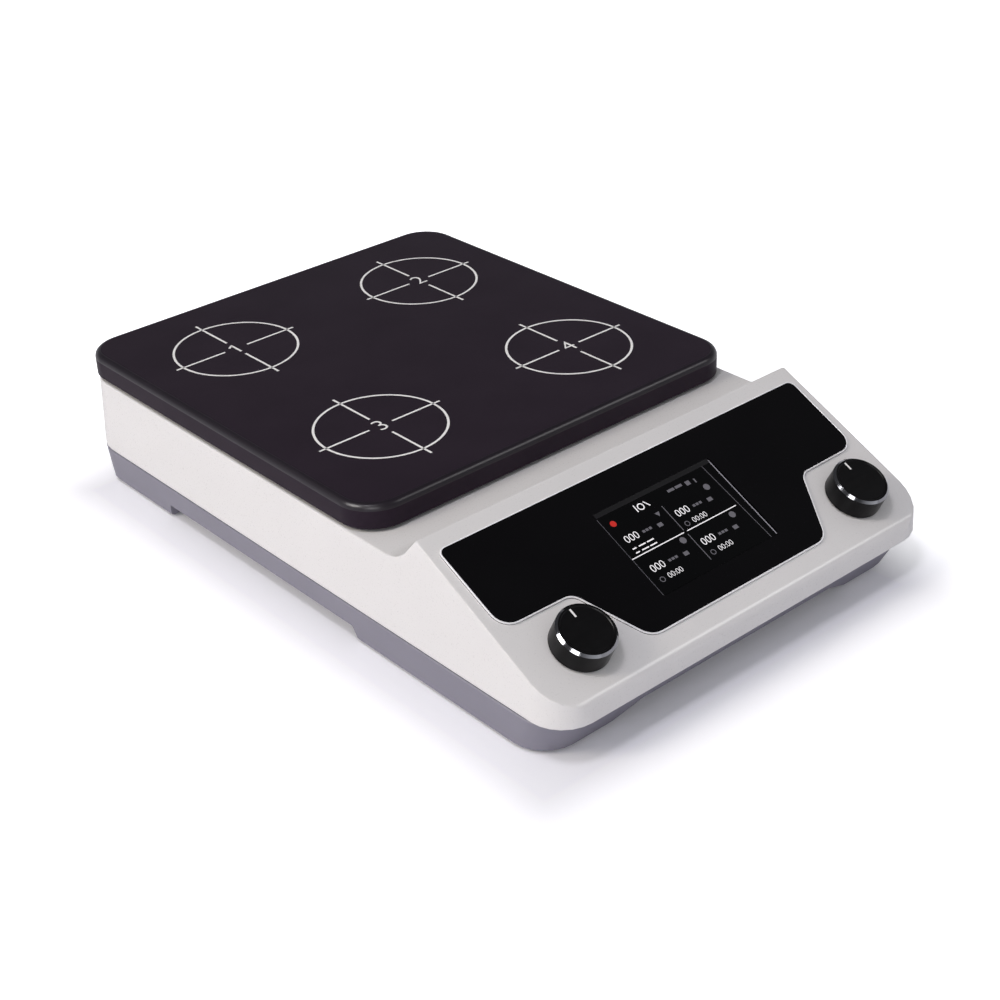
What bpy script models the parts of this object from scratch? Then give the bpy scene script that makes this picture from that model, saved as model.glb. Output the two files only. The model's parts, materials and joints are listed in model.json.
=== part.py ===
"""Four-position magnetic stirrer, modelled as its separate pieces.

Metres, +Z up. The control panel faces -Y, the bench is at z = 0, and the origin is
the middle of the footprint. Every piece that touches another keeps the gap FIT to it.
"""

import math

import bmesh
import bpy
from mathutils import Matrix, Vector
from mathutils.geometry import interpolate_bezier

# Gaps and helpers
FIT = 0.0003
OVERRUN = 0.010
TOLERANCE = 0.00001
SMOOTH_ANGLE = math.radians(30)
BEVEL_ANGLE = math.radians(38)
FLAT_ANGLE = math.radians(0.1)
CORNER_STEPS = 6
FINE_STEPS = 4

# Heights, from the bench up
LEG_CLEARANCE = 0.0010
TRAY_HEIGHT = 0.0192
DECK_HEADROOM = 0.0024
FRAME_HEIGHT = 0.0061
PLATE_THICKNESS = 0.0065
RIDGE_HEIGHT = 0.0147
NOSE_HEIGHT = 0.0097

# Stations and work plate
STATION_PITCH = 0.1140
STATION_SIDE_MARGIN = 0.0527
STATION_END_MARGIN = 0.0572
PLATE_CORNER = 0.0180
PLATE_EDGE = 0.0030
PLATE_CHAMFER = 0.0004
PLATE_SKIRT = 0.0050
PLATE_SKIRT_WALL = 0.0030
PLATE_SIDE_INSET = 0.0019
PLATE_REAR_INSET = 0.0013
PLATE_GAP = 0.03185

# Frame under the plate
FRAME_MARGIN = 0.0037
FRAME_BAND = 0.0090
FRAME_CORNER = 0.0120
FRAME_SCREW_INSET = 0.0410

# Upper housing
HOUSING_WALL = 0.0025
HOUSING_DRAFT = math.radians(2.5)
HOUSING_EDGE = 0.0015
HOUSING_FRONT_CORNER = 0.0170
HOUSING_REAR_CORNER = 0.0200
PANEL_RUN = 0.0852
RAMP_ANGLE = math.radians(50)
RAMP_RADIUS = 0.0180
RIDGE_RADIUS = 0.0012
NOSE_RADIUS = 0.0050
RIM_WALL = 0.0036
LEDGE_DEPTH = 0.0100
LEDGE_HEIGHT = 0.0025
DECK_LAND = 0.0110
DECK_OPENING_CORNER = 0.0060
REAR_FACE_SETBACK = 0.0041
REAR_FACE_WALL = 0.0030
REAR_FACE_MARGIN = 0.0030

# Base tray
TRAY_WALL = 0.0025
TRAY_FLOOR = 0.0025
TRAY_FLOOR_RISE = 0.0072
TRAY_NOSE_SETBACK = 0.0045
TRAY_NOSE_LEAN = 0.0098
TRAY_TAPER = 0.0030
TRAY_CORNER = 0.0170
TRAY_REAR_CORNER_DRAW = 0.0060
TRAY_EDGE = 0.0015
TRAY_RIM_CHAMFER = 0.0004
LEG_SKIRT = 0.0060
FRONT_LEG_LENGTH = 0.1340
REAR_LEG_LENGTH = 0.06815
LEG_WIDTH = 0.0366
SIDE_ARCH_LEAN = 0.0025
END_ARCH_LEAN = 0.0180

# Rubber feet
FOOT_RADIUS = 0.0070
FOOT_SEAT_DEPTH = 0.0020
FOOT_BOSS_WALL = 0.0025
FOOT_CHAMFER = 0.0006
FOOT_SIDE_INSET = 0.0216
FOOT_FRONT_INSET = 0.0374
FOOT_REAR_INSET = 0.0234

# Screws
SCREW_RADIUS = 0.0015
SCREW_HEAD_RADIUS = 0.0030
SCREW_HEAD_HEIGHT = 0.0022
SCREW_HEAD_CHAMFER = 0.0006
BASE_SCREW_LENGTH = 0.0200
BASE_SCREW_SIDE_INSET = 0.0156
BASE_SCREW_FRONT_INSET = 0.0554
BASE_SCREW_REAR_INSET = 0.0384
BASE_SCREW_SEAT = 0.0035
SCREW_BOSS_WALL = 0.0027
SCREW_END_GAP = 0.0010
FRAME_SCREW_LENGTH = 0.0065

# Control panel, its tops measured from the ridge and its feet from the front edge
OVERLAY_MARGIN = 0.0069
OVERLAY_TOP = 0.0085
OVERLAY_FOOT = 0.0114
OVERLAY_NECK_DROP = 0.0005
OVERLAY_NECK_INSET = 0.0130
OVERLAY_LOBE_INSET = 0.0296
OVERLAY_TOP_RADIUS = 0.0035
OVERLAY_SHOULDER_RADIUS = 0.0080
OVERLAY_NECK_RADIUS = 0.0065
OVERLAY_LOBE_RADIUS = 0.0090
OVERLAY_RAISE = 0.0008
OVERLAY_RECESS = 0.0012
WINDOW_SIDE_MARGIN = 0.01765
WINDOW_TOP_MARGIN = 0.0163
WINDOW_BOTTOM_MARGIN = 0.0125
WINDOW_RADIUS = 0.0012
WINDOW_LEDGE = 0.0022
LENS_DEPTH = 0.0004

# Display and control board behind the panel
MODULE_SIDE_MARGIN = 0.00725
MODULE_MARGIN = 0.0045
ENCODER_BODY_HEIGHT = 0.0065
BOARD_THICKNESS = 0.0016
CONTROL_BOARD_MARGIN = 0.0080
CONTROL_BOARD_TOP = 0.0140
CONTROL_BOARD_FOOT = 0.0149
BOARD_POST_RADIUS = 0.0030
CONTROL_POST_OFFSET = 0.0220
CONTROL_POST_INSET = 0.0035

# Knobs and their push encoders
KNOB_SIDE_INSET = 0.0296
KNOB_FOOT = 0.0231
KNOB_HEADROOM = 0.0206
KNOB_HEIGHT = 0.01125
KNOB_RADIUS = 0.0130
KNOB_TOP_RADIUS = 0.01285
KNOB_RIM = 0.0010
KNOB_DISH = 0.0003
KNOB_LIFT = 0.0010
KNOB_RECESS_RADIUS = 0.0075
KNOB_RECESS_DEPTH = 0.0035
KNOB_ROOF = 0.0022
PUSH_TRAVEL = 0.0005
SHAFT_RADIUS = 0.0030
BUSHING_RADIUS = 0.0045
BUSHING_RISE = 0.0030
NUT_RADIUS = 0.0065
NUT_HEIGHT = 0.0020
ENCODER_WIDTH = 0.0124
ENCODER_LENGTH = 0.0132
ENCODER_FLOOR = 0.0012
PLUNGER_HEIGHT = 0.0010

# Stirring drives
MOTOR_RADIUS = 0.0185
MOTOR_GAP = 0.0013
MOTOR_COLLAR_RADIUS = 0.0060
MOTOR_COLLAR_HEIGHT = 0.0030
MOTOR_FLOOR = 0.0037
SPINDLE_RADIUS = 0.0025
HOLDER_RADIUS = 0.0280
HOLDER_THICKNESS = 0.0090
HUB_RADIUS = 0.0080
HUB_HEIGHT = 0.0060
HUB_GAP = 0.0047
MAGNET_RADIUS = 0.0060
MAGNET_HEIGHT = 0.0100
MAGNET_SPREAD = 0.0400
MAGNET_SEAT = 0.0035
MAGNET_TOP_GAP = 0.0025

# Sheet that carries the motors
DRIVE_PLATE_SIDE_RIM = 0.0125
DRIVE_PLATE_FRONT_RIM = 0.0080
DRIVE_PLATE_REAR_RIM = 0.0040
DRIVE_PLATE_THICKNESS = 0.0015
DRIVE_PLATE_CORNER = 0.0060
LEAD_NOTCH_WIDTH = 0.0700
LEAD_NOTCH_DEPTH = 0.0260
DRIVE_POST_RADIUS = 0.0040
DRIVE_POST_INSET = 0.0080

# Main board and power supply in the tray
MAIN_BOARD_SIDE_MARGIN = 0.0336
MAIN_BOARD_DEPTH = 0.0900
MAIN_BOARD_FRONT_INSET = 0.0334
MAIN_BOARD_LIFT = 0.0036
MAIN_POST_INSET = 0.0080
CONNECTOR_WIDTH = 0.0280
CONNECTOR_DEPTH = 0.0060
CONNECTOR_HEIGHT = 0.0080
CONNECTOR_INSET = 0.0220
CAPACITOR_RADIUS = 0.0050
CAPACITOR_HEIGHT = 0.0120
CAPACITOR_PITCH = 0.0160
CAPACITOR_INSET = 0.0070
HEAT_SINK_SIZE = (0.0300, 0.0120, 0.0140)
SUPPLY_SIDE_GAP = 0.0135
SUPPLY_TOP_GAP = 0.0033
SUPPLY_LENGTH = 0.0950
SUPPLY_EDGE = 0.0010
SUPPLY_LEAD_SHARE = 0.25

# Cables inside
RIBBON_WIDTH = 0.0240
RIBBON_THICKNESS = 0.0010
RIBBON_INSET = 0.0240
LEAD_RADIUS = 0.0025

# Mains inlet with its fuse drawer
INLET_X = -0.0120
INLET_MARGIN = 0.0017
INLET_FLANGE_WIDTH = 0.0310
INLET_FLANGE_HEIGHT = 0.0315
FLANGE_THICKNESS = 0.0020
FLANGE_CORNER = 0.0020
FLANGE_LIP = 0.0017
INLET_DEPTH = 0.0230
INLET_SILL = 0.0029
SOCKET_WIDTH = 0.0240
SOCKET_HEIGHT = 0.0165
SOCKET_DEPTH = 0.0170
SOCKET_SILL = 0.0030
SOCKET_CHAMFER = 0.0045
BLADE_THICKNESS = 0.0020
BLADE_WIDTH = 0.0040
BLADE_LENGTH = 0.0225
BLADE_EDGE = 0.0005
BLADE_SPREAD = 0.0140
BLADE_OFFSET = 0.0020
BLADE_SETBACK = 0.0056
DRAWER_WIDTH = 0.0236
DRAWER_HEIGHT = 0.0070
DRAWER_LENGTH = 0.0185
DRAWER_GAP = 0.0022
DRAWER_FLOOR = 0.0010
DRAWER_SLOT_END = 0.0010
FINGER_NOTCH_RADIUS = 0.0012
FINGER_NOTCH_WIDTH = 0.0118
FUSE_LENGTH = 0.0200
FUSE_CAP_RADIUS = 0.0026
FUSE_GLASS_RADIUS = 0.0023
FUSE_CAP_LENGTH = 0.0050
FUSE_INSET = 0.0100

# Power switch
SWITCH_X = 0.0240
SWITCH_FRAME_WIDTH = 0.0150
SWITCH_FRAME_HEIGHT = 0.0210
SWITCH_WALL = 0.0012
SWITCH_DEPTH = 0.0140
ROCKER_WIDTH = 0.0094
ROCKER_LENGTH = 0.0150
ROCKER_SIDE = 0.0032
ROCKER_WAIST = 0.0016
ROCKER_BELLY = 0.0035
ROCKER_BELLY_LENGTH = 0.0090
ROCKER_SWING = math.radians(12)
ROCKER_PIVOT_DEPTH = 0.0029
ROCKER_PIN_RADIUS = 0.0010
ROCKER_PIN_REACH = 0.0008
SWITCH_WELL_MARGIN = 0.0009
SWITCH_WELL_DEPTH = 0.0050

# Sizes that follow from the ones above
PLATE_WIDTH = STATION_PITCH + 2 * STATION_SIDE_MARGIN
PLATE_DEPTH = STATION_PITCH + 2 * STATION_END_MARGIN
HOUSING_WIDTH = PLATE_WIDTH + 2 * PLATE_SIDE_INSET
OVERALL_DEPTH = PLATE_REAR_INSET + PLATE_DEPTH + PLATE_GAP + PANEL_RUN
DECK_HEIGHT = INLET_SILL + INLET_FLANGE_HEIGHT + DECK_HEADROOM
FRAME_SIZE = PLATE_WIDTH - 2 * FRAME_MARGIN
DECK_OPENING = FRAME_SIZE - 2 * DECK_LAND
DRIVE_PLATE_WIDTH = STATION_PITCH + 2 * (MOTOR_RADIUS + DRIVE_PLATE_SIDE_RIM)
MAIN_BOARD_WIDTH = HOUSING_WIDTH - 2 * MAIN_BOARD_SIDE_MARGIN
SUPPLY_WIDTH = STATION_PITCH - 2 * (MOTOR_RADIUS + SUPPLY_SIDE_GAP)
KNOB_SPREAD = HOUSING_WIDTH - 2 * KNOB_SIDE_INSET
OVERLAY_WIDTH = HOUSING_WIDTH - 2 * OVERLAY_MARGIN
OVERLAY_NECK_WIDTH = KNOB_SPREAD - 2 * OVERLAY_NECK_INSET
OVERLAY_LOBE_WIDTH = KNOB_SPREAD - 2 * OVERLAY_LOBE_INSET
WINDOW_WIDTH = OVERLAY_LOBE_WIDTH - 2 * WINDOW_SIDE_MARGIN
MODULE_WIDTH = WINDOW_WIDTH + 2 * MODULE_SIDE_MARGIN
CONTROL_BOARD_WIDTH = KNOB_SPREAD + 2 * CONTROL_BOARD_MARGIN
CONTROL_POST_SPREAD = KNOB_SPREAD - 2 * CONTROL_POST_OFFSET

# Levels and lines that follow from the sizes
FRONT_Y = -OVERALL_DEPTH / 2
BACK_Y = OVERALL_DEPTH / 2
PLATE_Y = BACK_Y - PLATE_REAR_INSET - PLATE_DEPTH / 2
TRAY_TOP = LEG_CLEARANCE + TRAY_HEIGHT
FLOOR_BOTTOM = LEG_CLEARANCE + TRAY_FLOOR_RISE
FLOOR_TOP = FLOOR_BOTTOM + TRAY_FLOOR
SEAM_Z = TRAY_TOP + FIT
DECK_Z = SEAM_Z + DECK_HEIGHT
RIDGE_Z = DECK_Z + RIDGE_HEIGHT
RIDGE_Y = FRONT_Y + PANEL_RUN
PANEL_FOOT_Z = SEAM_Z + NOSE_HEIGHT
PANEL_SLOPE = math.atan2(RIDGE_Z - PANEL_FOOT_Z, PANEL_RUN)
PANEL_LENGTH = PANEL_RUN / math.cos(PANEL_SLOPE)
KNOB_PLACE = PANEL_LENGTH - KNOB_FOOT
OVERLAY_SHOULDER = KNOB_PLACE - KNOB_HEADROOM
OVERLAY_BOTTOM = PANEL_LENGTH - OVERLAY_FOOT
WINDOW_TOP = OVERLAY_TOP + WINDOW_TOP_MARGIN
WINDOW_BOTTOM = OVERLAY_BOTTOM - WINDOW_BOTTOM_MARGIN
CONTROL_BOARD_BOTTOM = PANEL_LENGTH - CONTROL_BOARD_FOOT
RIBBON_PLACE = CONTROL_BOARD_BOTTOM - RIBBON_INSET
FRAME_BOTTOM = DECK_Z + FIT
PLATE_BOTTOM = FRAME_BOTTOM + FRAME_HEIGHT + FIT
PLATE_TOP = PLATE_BOTTOM + PLATE_THICKNESS
SIDES = (("left", -1), ("right", 1))
ROWS = (PLATE_Y + STATION_PITCH / 2, PLATE_Y - STATION_PITCH / 2)
STATIONS = [(sign * STATION_PITCH / 2, y) for y in ROWS for _, sign in SIDES]
MAGNET_BOTTOM = PLATE_BOTTOM - MAGNET_TOP_GAP - MAGNET_HEIGHT
HOLDER_TOP = MAGNET_BOTTOM - FIT + MAGNET_SEAT
HUB_BOTTOM = HOLDER_TOP - HOLDER_THICKNESS - HUB_HEIGHT
MOTOR_TOP = HUB_BOTTOM - HUB_GAP - MOTOR_COLLAR_HEIGHT
MOTOR_BOTTOM = FLOOR_TOP + MOTOR_GAP
DRIVE_PLATE_BOTTOM = MOTOR_TOP + FIT
SUPPLY_BOTTOM = FLOOR_TOP + FIT
SUPPLY_TOP = DRIVE_PLATE_BOTTOM - SUPPLY_TOP_GAP
SUPPLY_BACK_Y = PLATE_Y + SUPPLY_LENGTH / 2
REAR_FACE_Y = BACK_Y - REAR_FACE_SETBACK
INLET_BOTTOM = SEAM_Z + INLET_SILL
SOCKET_BOTTOM = INLET_BOTTOM + SOCKET_SILL
SOCKET_CENTRE = SOCKET_BOTTOM + SOCKET_HEIGHT / 2
DRAWER_BOTTOM = SOCKET_BOTTOM + SOCKET_HEIGHT + DRAWER_GAP
FLANGE_FACE_Y = REAR_FACE_Y + FIT + FLANGE_THICKNESS
INLET_BACK_Y = REAR_FACE_Y - INLET_DEPTH
PANEL = Matrix.Translation((0, RIDGE_Y, RIDGE_Z)) @ Matrix.Rotation(PANEL_SLOPE, 4, "X")
LYING = Matrix.Rotation(math.pi / 2, 4, "Y")
ALONG_X = Matrix(((0, 0, 1, 0), (1, 0, 0, 0), (0, 1, 0, 0), (0, 0, 0, 1)))
ALONG_Y = Matrix(((1, 0, 0, 0), (0, 0, -1, 0), (0, 1, 0, 0), (0, 0, 0, 1)))


def srgb(code):
    """Linear colour of a six-digit hex code."""
    values = [int(code[place : place + 2], 16) / 255 for place in (0, 2, 4)]
    linear = [v / 12.92 if v <= 0.04045 else ((v + 0.055) / 1.055) ** 2.4 for v in values]
    return (*linear, 1)


def finish(name, code, roughness, metallic=0):
    """A material with a colour, a roughness and a metallic value."""
    material = bpy.data.materials.new(name)
    material.use_nodes = True
    shader = material.node_tree.nodes["Principled BSDF"]
    shader.inputs["Base Color"].default_value = srgb(code)
    shader.inputs["Roughness"].default_value = roughness
    shader.inputs["Metallic"].default_value = metallic
    return material


def clear_scene():
    for obj in list(bpy.data.objects):
        bpy.data.objects.remove(obj)


def collection(name):
    made = bpy.data.collections.new(name)
    bpy.context.scene.collection.children.link(made)
    return made


# Outlines


def fillet(corners, radii, steps=CORNER_STEPS):
    """A closed outline whose corners are rounded, each with its own radius."""
    points = []
    for index, corner in enumerate(corners):
        here = Vector(corner)
        if not radii[index]:
            points.append(here)
            continue
        behind = (Vector(corners[index - 1]) - here).normalized()
        ahead = (Vector(corners[(index + 1) % len(corners)]) - here).normalized()
        half = behind.angle(ahead) / 2
        centre = here + (behind + ahead).normalized() * (radii[index] / math.sin(half))
        start = here + behind * (radii[index] / math.tan(half)) - centre
        end = here + ahead * (radii[index] / math.tan(half)) - centre
        sweep = start.angle(end)
        for step in range(steps + 1):
            share = step / steps
            part = start * math.sin(sweep * (1 - share)) + end * math.sin(sweep * share)
            points.append(centre + part / math.sin(sweep))
    return points


def inset(corners, distance):
    """The corners of an outline that runs anticlockwise, with each side moved inwards."""
    sides = []
    for index, corner in enumerate(corners):
        start = Vector(corner)
        along = (Vector(corners[(index + 1) % len(corners)]) - start).normalized()
        sides.append((start + Vector((-along.y, along.x)) * distance, along))
    moved = []
    for index, (start, along) in enumerate(sides):
        before, toward = sides[index - 1]
        reach = (start - before).cross(along) / toward.cross(along)
        moved.append(before + toward * reach)
    return moved


def rounding(radius, steps):
    """Steps over a rounded edge, as how far in and how far from the face each one is."""
    angles = [math.pi / 2 * step / steps for step in range(steps + 1)]
    return [(radius * (1 - math.cos(angle)), radius * (1 - math.sin(angle))) for angle in angles]


def rectangle(left, front, right, back):
    return [(left, front), (right, front), (right, back), (left, back)]


def centred(width, height, x=0, y=0):
    return rectangle(x - width / 2, y - height / 2, x + width / 2, y + height / 2)


def rounded(corners, radius, steps=CORNER_STEPS):
    return fillet(corners, [radius] * len(corners), steps)


# Solids


def add(name, mesh, group):
    obj = bpy.data.objects.new(name, mesh)
    group.objects.link(obj)
    return obj


def from_bmesh(name, shape, group):
    bmesh.ops.recalc_face_normals(shape, faces=shape.faces)
    mesh = bpy.data.meshes.new(name)
    shape.to_mesh(mesh)
    shape.free()
    return add(name, mesh, group)


def box(name, low, high, group):
    shape = bmesh.new()
    bmesh.ops.create_cube(shape, size=1)
    size = Vector(high) - Vector(low)
    bmesh.ops.scale(shape, vec=size, verts=shape.verts)
    bmesh.ops.translate(shape, vec=Vector(low) + size / 2, verts=shape.verts)
    return from_bmesh(name, shape, group)


def cylinder(name, radius, low, high, group, place=(0, 0), sides=16):
    """An upright cylinder, or a prism where it has few sides."""
    shape = bmesh.new()
    bmesh.ops.create_cone(
        shape,
        cap_ends=True,
        segments=sides,
        radius1=radius,
        radius2=radius,
        depth=high - low,
        matrix=Matrix.Translation((*place, (low + high) / 2)),
    )
    return from_bmesh(name, shape, group)


def loft(name, sections, group):
    """A solid through outlines that have the same number of points, each at its level."""
    shape = bmesh.new()
    rings = [[shape.verts.new((*point, level)) for point in outline] for outline, level in sections]
    shape.faces.new(rings[0])
    shape.faces.new(rings[-1])
    for lower, upper in zip(rings, rings[1:]):
        for index, start in enumerate(lower):
            ahead = (index + 1) % len(lower)
            shape.faces.new((start, lower[ahead], upper[ahead], upper[index]))
    return from_bmesh(name, shape, group)


def flat(name, outlines, low, high, group, frame=Matrix()):
    """A flat piece from one outline, or from several where the inner ones are holes."""
    curve = bpy.data.curves.new(name, "CURVE")
    curve.dimensions = "2D"
    curve.fill_mode = "BOTH"
    curve.extrude = (high - low) / 2
    for outline in outlines:
        spline = curve.splines.new("POLY")
        spline.points.add(len(outline) - 1)
        for point, place in zip(spline.points, outline):
            point.co = (*place, 0, 1)
        spline.use_cyclic_u = True
    piece = solid_of(name, curve, group)
    piece.data.transform(Matrix.Translation((0, 0, (low + high) / 2)))
    piece.matrix_world = frame
    return piece


def tube(name, points, radius, group):
    """A round lead along points."""
    curve = bpy.data.curves.new(name, "CURVE")
    curve.dimensions = "3D"
    curve.bevel_depth = radius
    curve.bevel_resolution = 2
    curve.use_fill_caps = True
    spline = curve.splines.new("POLY")
    spline.points.add(len(points) - 1)
    for point, place in zip(spline.points, points):
        point.co = (*place, 1)
    return solid_of(name, curve, group)


def solid_of(name, curve, group):
    """The closed mesh of a curve."""
    drawn = add(name + "_curve", curve, group)
    graph = bpy.context.evaluated_depsgraph_get()
    mesh = bpy.data.meshes.new_from_object(drawn.evaluated_get(graph))
    bpy.data.objects.remove(drawn)
    bpy.data.curves.remove(curve)
    shape = bmesh.new()
    shape.from_mesh(mesh)
    bpy.data.meshes.remove(mesh)
    bmesh.ops.remove_doubles(shape, verts=shape.verts, dist=TOLERANCE)
    bmesh.ops.dissolve_limit(shape, angle_limit=FLAT_ANGLE, verts=shape.verts, edges=shape.edges)
    return from_bmesh(name, shape, group)


def turned(name, profile, group, steps=24):
    """A turned piece, from (radius, height) points down its outer side."""
    mesh = bpy.data.meshes.new(name)
    points = [(radius, 0, height) for radius, height in profile]
    edges = [(index, index + 1) for index in range(len(points) - 1)]
    if profile[0][0]:
        edges.append((len(points) - 1, 0))
    mesh.from_pydata(points, edges, [])
    obj = add(name, mesh, group)
    screw = obj.modifiers.new("Turn", "SCREW")
    screw.steps = steps
    screw.render_steps = steps
    screw.use_merge_vertices = True
    screw.merge_threshold = TOLERANCE
    return obj


def combine(target, tool, operation="DIFFERENCE"):
    """Cut, join or keep the common part, and leave the tool among the cutters."""
    modifier = target.modifiers.new(tool.name, "BOOLEAN")
    modifier.operation = operation
    modifier.solver = "EXACT"
    modifier.object = tool
    tool.hide_render = True
    tool.display_type = "WIRE"


def bevelled(obj, width, segments=2):
    bevel = obj.modifiers.new("Rounded edges", "BEVEL")
    bevel.width = width
    bevel.segments = segments
    bevel.limit_method = "ANGLE"
    bevel.angle_limit = BEVEL_ANGLE
    return obj


def weld(mesh):
    """Join the points that a cut leaves too close together to matter."""
    shape = bmesh.new()
    shape.from_mesh(mesh)
    bmesh.ops.remove_doubles(shape, verts=shape.verts, dist=TOLERANCE)
    bmesh.ops.dissolve_degenerate(shape, dist=TOLERANCE, edges=shape.edges)
    shape.to_mesh(mesh)
    shape.free()


def settle(obj, material=None):
    """Keep the shape that the modifiers give, and shade its round faces smooth."""
    bpy.context.view_layer.update()
    graph = bpy.context.evaluated_depsgraph_get()
    mesh = bpy.data.meshes.new_from_object(obj.evaluated_get(graph))
    weld(mesh)
    obj.modifiers.clear()
    old = obj.data
    obj.data = mesh
    bpy.data.meshes.remove(old)
    mesh.name = obj.name
    mesh.shade_smooth()
    mesh.set_sharp_from_angle(angle=SMOOTH_ANGLE)
    if material:
        mesh.materials.clear()
        mesh.materials.append(material)
    return obj


def hold_in(obj, frame):
    """Keep a piece where it is, with its mesh measured in another frame."""
    obj.data.transform(frame.inverted() @ obj.matrix_world)
    obj.matrix_world = frame


def on_panel(obj, x=0, down=0):
    """Put a piece that is modelled on the level onto the sloping panel."""
    obj.matrix_world = PANEL @ Matrix.Translation((x, -down, 0))
    return obj


# Places that more than one piece follows


def foot_places():
    rows = (("front", FRONT_Y + FOOT_FRONT_INSET), ("rear", BACK_Y - FOOT_REAR_INSET))
    across = HOUSING_WIDTH / 2 - FOOT_SIDE_INSET
    return [(side, where, sign * across, y) for where, y in rows for side, sign in SIDES]


def base_screw_places():
    rows = (("front", FRONT_Y + BASE_SCREW_FRONT_INSET), ("rear", BACK_Y - BASE_SCREW_REAR_INSET))
    across = HOUSING_WIDTH / 2 - BASE_SCREW_SIDE_INSET
    return [(side, where, sign * across, y) for where, y in rows for side, sign in SIDES]


def frame_screw_places():
    across = (FRAME_SIZE - FRAME_BAND) / 2
    along = FRAME_SIZE / 2 - FRAME_SCREW_INSET
    rows = (("front", PLATE_Y - along), ("rear", PLATE_Y + along))
    return [(side, where, sign * across, y) for where, y in rows for side, sign in SIDES]


def drive_plate_lines():
    """The front and the back edge of the sheet that carries the motors."""
    back_row, front_row = ROWS
    front = front_row - MOTOR_RADIUS - DRIVE_PLATE_FRONT_RIM
    back = back_row + MOTOR_RADIUS + DRIVE_PLATE_REAR_RIM
    return front, back


def drive_post_places():
    front, back = drive_plate_lines()
    across = DRIVE_PLATE_WIDTH / 2 - DRIVE_POST_INSET
    rows = (front + DRIVE_POST_INSET, back - DRIVE_POST_INSET)
    return [(sign * across, y) for y in rows for _, sign in SIDES]


def main_board_corners():
    front = FRONT_Y + MAIN_BOARD_FRONT_INSET
    return rectangle(-MAIN_BOARD_WIDTH / 2, front, MAIN_BOARD_WIDTH / 2, front + MAIN_BOARD_DEPTH)


def control_post_places():
    rows = (CONTROL_BOARD_TOP + CONTROL_POST_INSET, CONTROL_BOARD_BOTTOM - CONTROL_POST_INSET)
    return [(sign * CONTROL_POST_SPREAD / 2, -down) for down in rows for _, sign in SIDES]


def board_level():
    """The face of the control board that looks at the panel, below the panel's face."""
    return -HOUSING_WALL - FIT - ENCODER_BODY_HEIGHT - FIT


def overlay_corners():
    half, neck, lobe = OVERLAY_WIDTH / 2, OVERLAY_NECK_WIDTH / 2, OVERLAY_LOBE_WIDTH / 2
    return [
        (-half, -OVERLAY_SHOULDER),
        (-neck, -OVERLAY_SHOULDER - OVERLAY_NECK_DROP),
        (-lobe, -OVERLAY_BOTTOM),
        (lobe, -OVERLAY_BOTTOM),
        (neck, -OVERLAY_SHOULDER - OVERLAY_NECK_DROP),
        (half, -OVERLAY_SHOULDER),
        (half, -OVERLAY_TOP),
        (-half, -OVERLAY_TOP),
    ]


def overlay_outline(grow=0):
    outer, neck = OVERLAY_SHOULDER_RADIUS, OVERLAY_NECK_RADIUS
    lobe, top = OVERLAY_LOBE_RADIUS, OVERLAY_TOP_RADIUS
    half = [outer + grow, neck - grow, lobe + grow]
    return fillet(inset(overlay_corners(), -grow), half + half[::-1] + [top + grow, top + grow])


def window_corners(grow=0):
    half = WINDOW_WIDTH / 2 + grow
    return rectangle(-half, -WINDOW_BOTTOM - grow, half, -WINDOW_TOP + grow)


def side_profile(depth=0):
    """The housing seen from its side, as (y, z), sunk by a depth below the outer face."""
    run = RIDGE_HEIGHT / math.tan(RAMP_ANGLE)
    nose_drop = OVERRUN * math.tan(PANEL_SLOPE)
    corners = [
        (FRONT_Y - OVERRUN, SEAM_Z),
        (BACK_Y + OVERRUN, SEAM_Z),
        (BACK_Y + OVERRUN, DECK_Z),
        (RIDGE_Y + run, DECK_Z),
        (RIDGE_Y, RIDGE_Z),
        (FRONT_Y - OVERRUN, PANEL_FOOT_Z - nose_drop),
    ]
    radii = [0, 0, 0, RAMP_RADIUS + depth, max(RIDGE_RADIUS - depth, 0), 0]
    if depth:
        corners = inset(corners, depth)
        corners[0] = Vector((corners[0][0], SEAM_Z - OVERRUN))
        corners[1] = Vector((corners[1][0], SEAM_Z - OVERRUN))
    return fillet(corners, radii, FINE_STEPS)


def housing_plan(level, depth=0):
    """The housing's outline from above at a level, sunk by a depth below the outer face."""
    lean = (level - SEAM_Z) * math.tan(HOUSING_DRAFT) + depth
    half = HOUSING_WIDTH / 2 - lean
    corners = rectangle(-half, FRONT_Y + depth, half, BACK_Y - lean)
    front, rear = HOUSING_FRONT_CORNER - depth, HOUSING_REAR_CORNER - depth
    return fillet(corners, [front, front, rear, rear])


def tray_plan(drop, depth=0):
    """The tray's outline at a distance below its rim."""
    share = drop / TRAY_HEIGHT
    half = HOUSING_WIDTH / 2 - depth - TRAY_TAPER * share
    front = FRONT_Y + TRAY_NOSE_SETBACK + TRAY_NOSE_LEAN * share + depth
    back = BACK_Y - depth - TRAY_TAPER * share
    front_corner = TRAY_CORNER - depth
    rear_corner = HOUSING_REAR_CORNER - depth - TRAY_REAR_CORNER_DRAW * share
    radii = [front_corner, front_corner, rear_corner, rear_corner]
    return fillet(rectangle(-half, front, half, back), radii)


# Upper housing


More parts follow.
